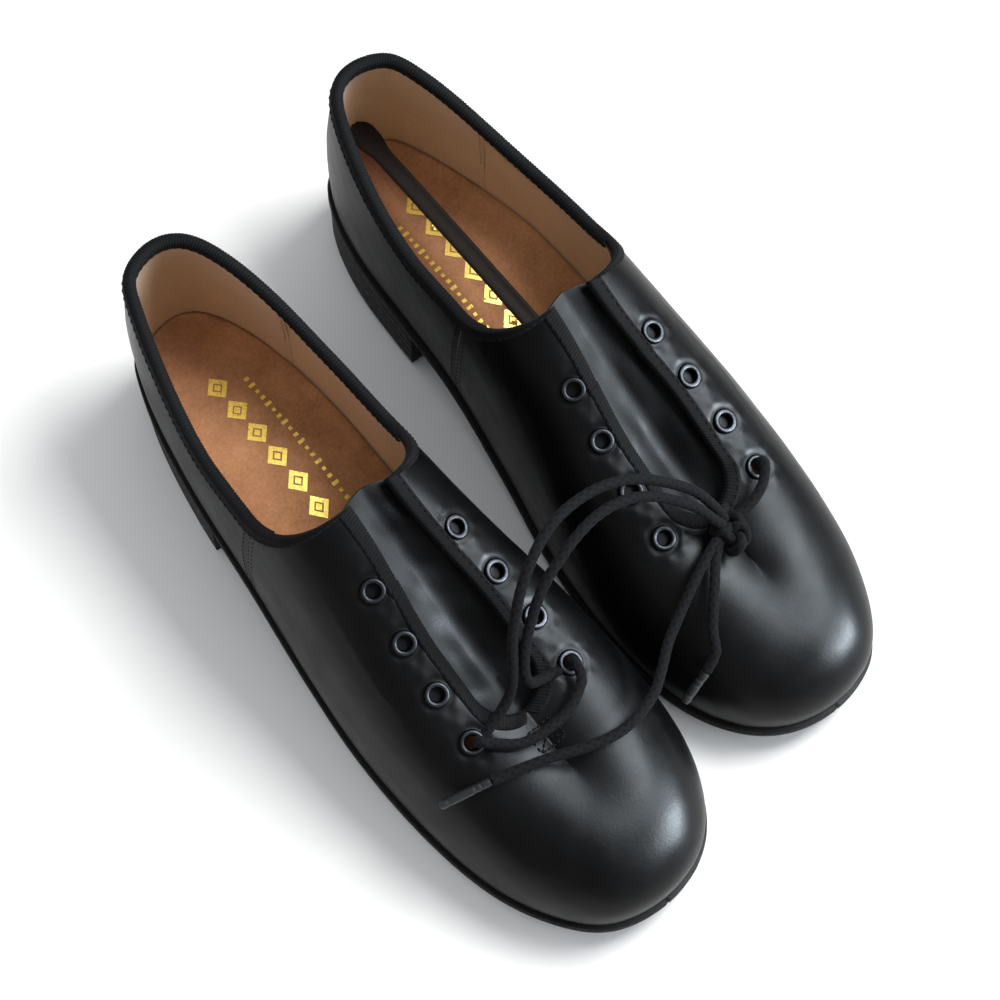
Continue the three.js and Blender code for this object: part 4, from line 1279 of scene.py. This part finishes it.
def add_stitching(shoe, seed):
    body = f"{shoe}_shoe"
    starts = {side: float(angle_at(FACING_STARTS[side], side)) for side in (1, -1)}
    angles = np.linspace(starts[-1], starts[1], 700)
    tops = edge_rise(angles)
    outer = surface_line(angles, drop_rise(angles, tops, TAPE_DROP_OUT - 1.1), shoe, -(TAPE_OUT + 0.1))
    under = surface_line(angles, drop_rise(angles, tops, TAPE_DROP_IN - 1.0), shoe, INNER + TAPE_OUT + 0.05)
    sewn = stitches(f"{shoe}_collar_stitches", [outer, (under[0], -under[1])], THREAD)
    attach(sewn, body)
    reach = float(angle_at(LINING_END_AT))
    angles = np.linspace(-reach, reach, 600)
    line = surface_line(angles, drop_rise(angles, edge_rise(angles), 7.2), shoe, INNER + 0.12)
    fine = stitches(f"{shoe}_lining_stitches", [(line[0], -line[1])], TAN_THREAD, 1.9, 2.6, 0.2)
    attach(fine, body)
    seams = []
    for side in (1, -1):
        for shift in (-1.6, 1.6, 3.4):
            top = float(edge_rise(angle_at(SIDE_SEAM_AT, side)))
            rises = np.linspace(0.1, top * 0.9, 90)
            behind, ahead = (upper_point(angle_at(at, side), 0.4) for at in (92, 93))
            step = np.linalg.norm(ahead - behind)
            where = np.full(90, float(angle_at(SIDE_SEAM_AT + shift / step, side)))
            seams.append(surface_line(where, rises, shoe, 0.02, seed))
    for shift in (-1.7, 1.7):
        rises = np.linspace(0.12, float(edge_rise(0.0)) * 0.9, 90)
        seams.append(surface_line(np.full(90, shift / 58), rises, shoe, 0.02, seed))
    sides = stitches(f"{shoe}_seam_stitches", seams, THREAD)
    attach(sides, body)
    for label, side in SIDES.items():
        angles = np.linspace(starts[side], float(angle_at(THROAT_TIP_AT - 0.4, side)), 500)
        tops = edge_rise(angles)
        edge = surface_line(angles, drop_rise(angles, tops, TAPE_DROP_OUT - 1.1), shoe, -(TAPE_OUT + 0.1))
        row = stitches(f"{shoe}_{label}_facing_stitches", [edge], THREAD)
        open_with_facing(row, shoe, label)


def bar_tack(shoe):
    """The little sewn rectangle that keeps the throat from tearing."""
    place, wide, long = THROAT_CENTRE_AT + THROAT_WIDE[1] + 9.5, 4.6, 3.6
    corners = [(-wide, -long), (wide, -long), (wide, long), (-wide, long), (-wide, -long)]
    lines = []
    for (x0, y0), (x1, y1) in zip(corners, corners[1:]):
        t = np.linspace(0.04, 0.96, 20)
        lines.append((x0 + (x1 - x0) * t, y0 + (y1 - y0) * t))
    lines.append((np.linspace(-wide, wide, 20), np.linspace(-long, long, 20)))
    lines.append((np.linspace(-wide, wide, 20), np.linspace(long, -long, 20)))
    rows = []
    surface = (OUTSIDE + NORMALS * 0.3)[RISES > 0.6]
    normals = NORMALS[RISES > 0.6]
    for x, y in lines:
        apart = np.hypot(surface[:, None, 0] - RIDGE_OFFSET - x, surface[:, None, 1] + place + y)
        near = np.argsort(apart, 0)[:6]
        weight = 1 / (np.take_along_axis(apart, near, 0) + 0.05)[..., None]
        points = (surface[near] * weight).sum(0) / weight.sum(0)
        points[:, :2] = np.stack([RIDGE_OFFSET + x, -place - y], -1)
        rows.append((world(points, shoe), world_direction(normals[near[0]], shoe)))
    piece = stitches(f"{shoe}_bar_tack", rows, THREAD, 1.5, 1.7, 0.34)
    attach(piece, f"{shoe}_shoe")


def build_shoe(shoe, seed):
    body = f"{shoe}_shoe"
    vamp = skin_piece(f"{shoe}_vamp_skin", shoe, MASKS["vamp"], seed)
    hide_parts(f"{shoe}_vamp")
    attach(vamp, body)
    for label in SIDES:
        quarter = skin_piece(f"{shoe}_{label}_quarter_skin", shoe, MASKS["quarter_" + label], seed)
        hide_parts(f"{shoe}_quarter_{label}")
        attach(quarter, body)
        facing = skin_piece(f"{shoe}_{label}_facing_skin", shoe, MASKS["facing_" + label], seed)
        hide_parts(f"{shoe}_facing_{label}")
        open_with_facing(facing, shoe, label)
        add_eyelets(shoe, label)
    lining_piece(shoe)
    heel_grip(shoe)
    sock_piece(shoe)
    stamp(shoe)
    tongue_piece(shoe)
    sole_stack(shoe)
    add_bindings(shoe)
    add_stitching(shoe, seed)
    bar_tack(shoe)
    for tap in ("toe", "heel"):
        for index in (1, 2, 3):
            screw_head(f"{shoe}_{tap}_screw_{index}", f"{shoe}_{tap}_tap_screw_{index}", shoe)
    board = frame["nodes"][f"{shoe}_insole_board"]
    board.data.materials.clear()
    board.data.materials.append(BOARD_SKIN)


build_shoe("right", 101)
build_shoe("left", 202)

# ---------------------------------------------------------------- the lace, in the pair's frame
# the route's points are those of the CAD lace, with the ends taken on under the facings

LACE = 3.4
OUTER_RUN = [
    (-62.6, -59.4, 49.0), (-57.5, -58.4, 51.4), (-51.5, -57.2, 54.6), (-46.8, -55.6, 59.0),
    (-43.5, -52.5, 65.5), (-38, -46, 76), (-28, -39, 88), (-13, -33, 93),
    (4, -32, 91), (19, -36, 85), (33, -45, 73), (39, -52, 62),
    (40.8, -55, 56),
]
INNER_RUN = [
    (-25.9, -58.4, 49.0), (-31.0, -57.9, 51.6), (-36.6, -57.6, 54.8), (-40.6, -57.2, 58.8),
    (-40.4, -54.2, 64.5), (-35, -49, 72.5), (-24, -43, 82), (-8, -39, 88),
    (6, -38, 87), (19, -41, 81), (31, -49, 70), (37, -55, 60),
    (39.5, -56, 55),
]
FRONT_BAR = [
    (-25.6, -58.4, 49.6), (-25.2, -58.9, 53.6),
    (-25.4, -61.6, 55.4), (-28.2, -66.4, 54.6), (-38, -70.2, 53.2),
    (-52, -69.2, 53.0), (-60.4, -63.4, 54.4), (-63.0, -60.4, 54.6), (-63.0, -59.3, 49.6),
]
LEFT_LOOP = [
    (43.5, -56, 54.5), (50, -56.5, 55.6), (57, -54.5, 56.6), (62.2, -50.5, 57.0), (63.9, -47.8, 54.6),
    (63.9, -46.9, 49.8),
]
LONG_TAIL = [
    (38.5, -57, 53.6), (31, -59.5, 53), (22, -63, 52), (12, -67.5, 49), (3, -72, 47.5), (-5, -77.5, 47),
    (-13, -82, 48), (-26, -84.5, 50.5), (-38, -82, 51.5), (-50, -77, 51.5), (-60, -73.5, 51), (-67, -71, 50),
]
SHORT_TAIL = [
    (38.8, -57.5, 53.2), (32.5, -61, 52.5), (23.5, -70, 50.5), (16, -78, 47.5), (13, -83, 44), (8, -85, 40),
]
LONG_AGLET_END, SHORT_AGLET_END = (-83, -66, 45.5), (-1.5, -86.5, 33)
LONG_AGLET, SHORT_AGLET, AGLET = 17, 12, 3.0
KNOT_CENTRE = (41.5, -56, 53)
KNOT_RADII = (6.5, 5.5, 4.5)
LACE_STEP = 0.42
KNOT_STRAND = LACE * 0.46


def stretches(piece):
    """Bakes a piece of lace's placement into its mesh."""
    low, high = world((-20, 0, 0)), world((36, 0, 0))
    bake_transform(piece)


def strand(name, route):
    path, length = resample(world(route), LACE_STEP)
    piece = lace_tube(name, path, LACE / 2)
    stretches(piece)
    return piece, path, length


def knot(name, tilt, start, shift=(0.0, 0.0, 0.0)):
    """An overhand knot: one turn of lace that crosses itself three times, drawn up tight."""
    t = np.linspace(0, 2 * math.pi, 90, endpoint=False) + start
    size = (np.array(KNOT_RADII) - KNOT_STRAND) / (2.9, 2.9, 1.0)
    bare = np.stack([np.sin(t) + 2 * np.sin(2 * t), np.cos(t) - 2 * np.cos(2 * t), -np.sin(3 * t)], -1)
    turned_in = bare * size
    tilt = math.radians(tilt)
    x = turned_in[:, 0] * math.cos(tilt) - turned_in[:, 1] * math.sin(tilt)
    y = turned_in[:, 0] * math.sin(tilt) + turned_in[:, 1] * math.cos(tilt)
    laid = np.stack([x, y, turned_in[:, 2]], -1) + np.array(KNOT_CENTRE) + shift
    path, _ = resample(world(laid), LACE_STEP, closed=True)
    piece = lace_tube(name, path, KNOT_STRAND)
    stretches(piece)
    return piece


def aglet(name, start, end, length):
    """A crimped sleeve round the lace's end, drawn in toward its tip."""
    start, end = np.array(start, float), np.array(end, float)
    along = unit(end - start)
    first, second, _ = axes_for(along)
    turn = np.linspace(0, 2 * math.pi, 28, endpoint=False)
    places = np.concatenate([
        [0, 0.0, 0.12, 0.3], np.linspace(0.6, length - 0.8, 60), [length - 0.4, length - 0.12, length],
    ])
    sections, wear_and_painted_light = [], []
    for place in places:
        crimp = 0.10 * (bell(place - 3.0, 0.45) + bell(place - 5.0, 0.45) + bell(place - length + 3, 0.5))
        mouth = 1.0 if place > 0.3 else 0.93
        tip = 1 - 0.22 * smooth((place - length + 1.4) / 1.4) ** 2
        size = AGLET / 2 * (mouth * tip - crimp)
        size = size * (1 + 0.012 * np.cos(2 * turn))
        centre = start + along * (place + 0.4)
        ring = np.cos(turn)[:, None] * first + np.sin(turn)[:, None] * second
        sections.append(centre + ring * size[:, None])
        wear_and_painted_light.append(np.full(28, 0.2 + 0.8 * smooth((place - length + 2) / 2)))
    piece = loft(name, world(np.array(sections)), [AGLET_SKIN], wear_and_painted_light=np.array(wear_and_painted_light), crease=50)
    return piece


def declare(piece, path, length, far_end, stands_for=(), with_pieces=(), lay="loose"):
    for node in stands_for:
        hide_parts(node)
    [tuple(p) for p in path * MM]
    list(with_pieces)


def build_lace():
    tied = knot("lace_knot", 24, 0.35)
    drawn = knot("lace_knot_turn", 75, 1.2, (-1.2, -4.6, -0.4))
    long_tip = aglet("lace_long_tip", LONG_TAIL[-1], LONG_AGLET_END, LONG_AGLET)
    short_tip = aglet("lace_short_tip", SHORT_TAIL[-1], SHORT_AGLET_END, SHORT_AGLET)
    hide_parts("aglet_long_tail")
    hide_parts("aglet_short_tail")
    stretches(long_tip)
    stretches(short_tip)
    outer = strand("lace_outer_run", OUTER_RUN)
    declare(*outer, "knot", ["lace"], [tied, drawn])
    inner = strand("lace_inner_run", INNER_RUN)
    declare(*inner, "knot")
    long_tail = strand("lace_long_tail", LONG_TAIL)
    declare(*long_tail, "fitting", with_pieces=[long_tip])
    short_tail = strand("lace_short_tail", SHORT_TAIL)
    declare(*short_tail, "fitting", with_pieces=[short_tip])
    strand("lace_front_bar", FRONT_BAR)
    strand("lace_left_loop", LEFT_LOOP)


build_lace()

# ---------------------------------------------------------------- the shaper stick in the left shoe

STICK_WIDTH, STICK_THICKNESS = 9, 2.2
STICK_REAR_AT, STICK_FRONT_AT = 3.4, 246
STICK_REAR, STICK_FRONT, STICK_ARCH = 47, 26, 6
STICK_WAIST = 0.3


def shaper_stick():
    """A springy strip bowed between the heel and the toe, with a shallow channel along its top."""
    t = np.concatenate([np.linspace(0, 0.02, 14), np.linspace(0.023, 0.977, 130), np.linspace(0.98, 1, 14)])
    at = STICK_REAR_AT + (STICK_FRONT_AT - STICK_REAR_AT) * t
    height = STICK_REAR + (STICK_FRONT - STICK_REAR) * t + STICK_ARCH * np.sin(math.pi * t)
    half = STICK_WIDTH / 2
    inset = np.maximum(0, half - np.minimum(at - STICK_REAR_AT, STICK_FRONT_AT - at))
    wide = np.maximum(half * 0.3, np.sqrt(np.maximum(0, half * half - inset * inset)))
    turn = np.linspace(0, 2 * math.pi, 44, endpoint=False)
    from_heel, from_toe = (at - STICK_REAR_AT - 8) / 8, (STICK_FRONT_AT - 8 - at) / 8
    wide = wide * (1 - STICK_WAIST * smooth(from_heel) * smooth(from_toe))
    x = np.sign(np.cos(turn)) * np.abs(np.cos(turn)) ** 0.55
    z = np.sign(np.sin(turn)) * np.abs(np.sin(turn)) ** 0.8
    channel = 0.45 * (z > 0) * (1 - smooth((np.abs(x) - 0.42) / 0.16))
    rise = STICK_THICKNESS / 2 * (1 + z) - channel
    sections = np.stack([
        x[None] * wide[:, None], np.broadcast_to(-at[:, None], (len(t), len(turn))),
        height[:, None] + rise[None],
    ], -1)
    piece = loft("shaper_strip", world(sections, "left"), [STICK_SKIN], crease=40)
    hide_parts("shaper_stick")
    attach(piece, "shaper_stick")


shaper_stick()

# ---------------------------------------------------------------- studio


def floor():
    bpy.ops.mesh.primitive_plane_add(size=8, location=(0, 0, 0))
    plane = bpy.context.active_object
    plane.name = "floor"
    m = Nodes("floor_paper", 0.9)
    m.color(m.ramp(m.noise(3, 3, 0.5), [(0.3, (0.90, 0.90, 0.905)), (0.7, (0.93, 0.93, 0.93))]))
    plane.data.materials.append(m.material)


def softbox(name, place, aim, size, power, color=(1, 1, 1), soft=True, shiny=True):
    """An area light; it can be left out of soft shading or out of reflections."""
    data = bpy.data.lights.new(name, "AREA")
    data.shape = "RECTANGLE"
    data.size, data.size_y = size
    data.energy = power
    data.color = color
    light = bpy.data.objects.new(name, data)
    light.location = place
    light.rotation_mode = "QUATERNION"
    light.rotation_quaternion = (Vector(aim) - Vector(place)).to_track_quat("-Z", "Y")
    light.visible_diffuse = soft
    light.visible_glossy = shiny
    bpy.context.scene.collection.objects.link(light)


def studio():
    surround = bpy.data.worlds.new("surround")
    surround.use_nodes = True
    background = surround.node_tree.nodes["Background"]
    background.inputs["Color"].default_value = (0.96, 0.98, 1.0, 1)
    background.inputs["Strength"].default_value = 0.42
    bpy.context.scene.world = surround
    middle = (0.0, 0.0, 0.03)
    softbox("sky", (0.0, 0.0, 2.2), middle, (3.2, 3.2), 17, (0.97, 0.985, 1.0), shiny=False)
    softbox("key", (0.85, -0.15, 1.45), middle, (0.7, 0.7), 27, (1.0, 0.985, 0.96), shiny=False)
    softbox("window", (0.8, -0.98, 0.5), (0.0, -0.08, 0.04), (0.42, 0.36), 75, (0.80, 0.91, 1.0), soft=False)
    softbox("upper_window", (0.8, -0.42, 1.35), middle, (0.9, 0.7), 66, (0.84, 0.93, 1.0), soft=False)


floor()
studio()
bpy.context.scene.view_settings.view_transform = "Standard"
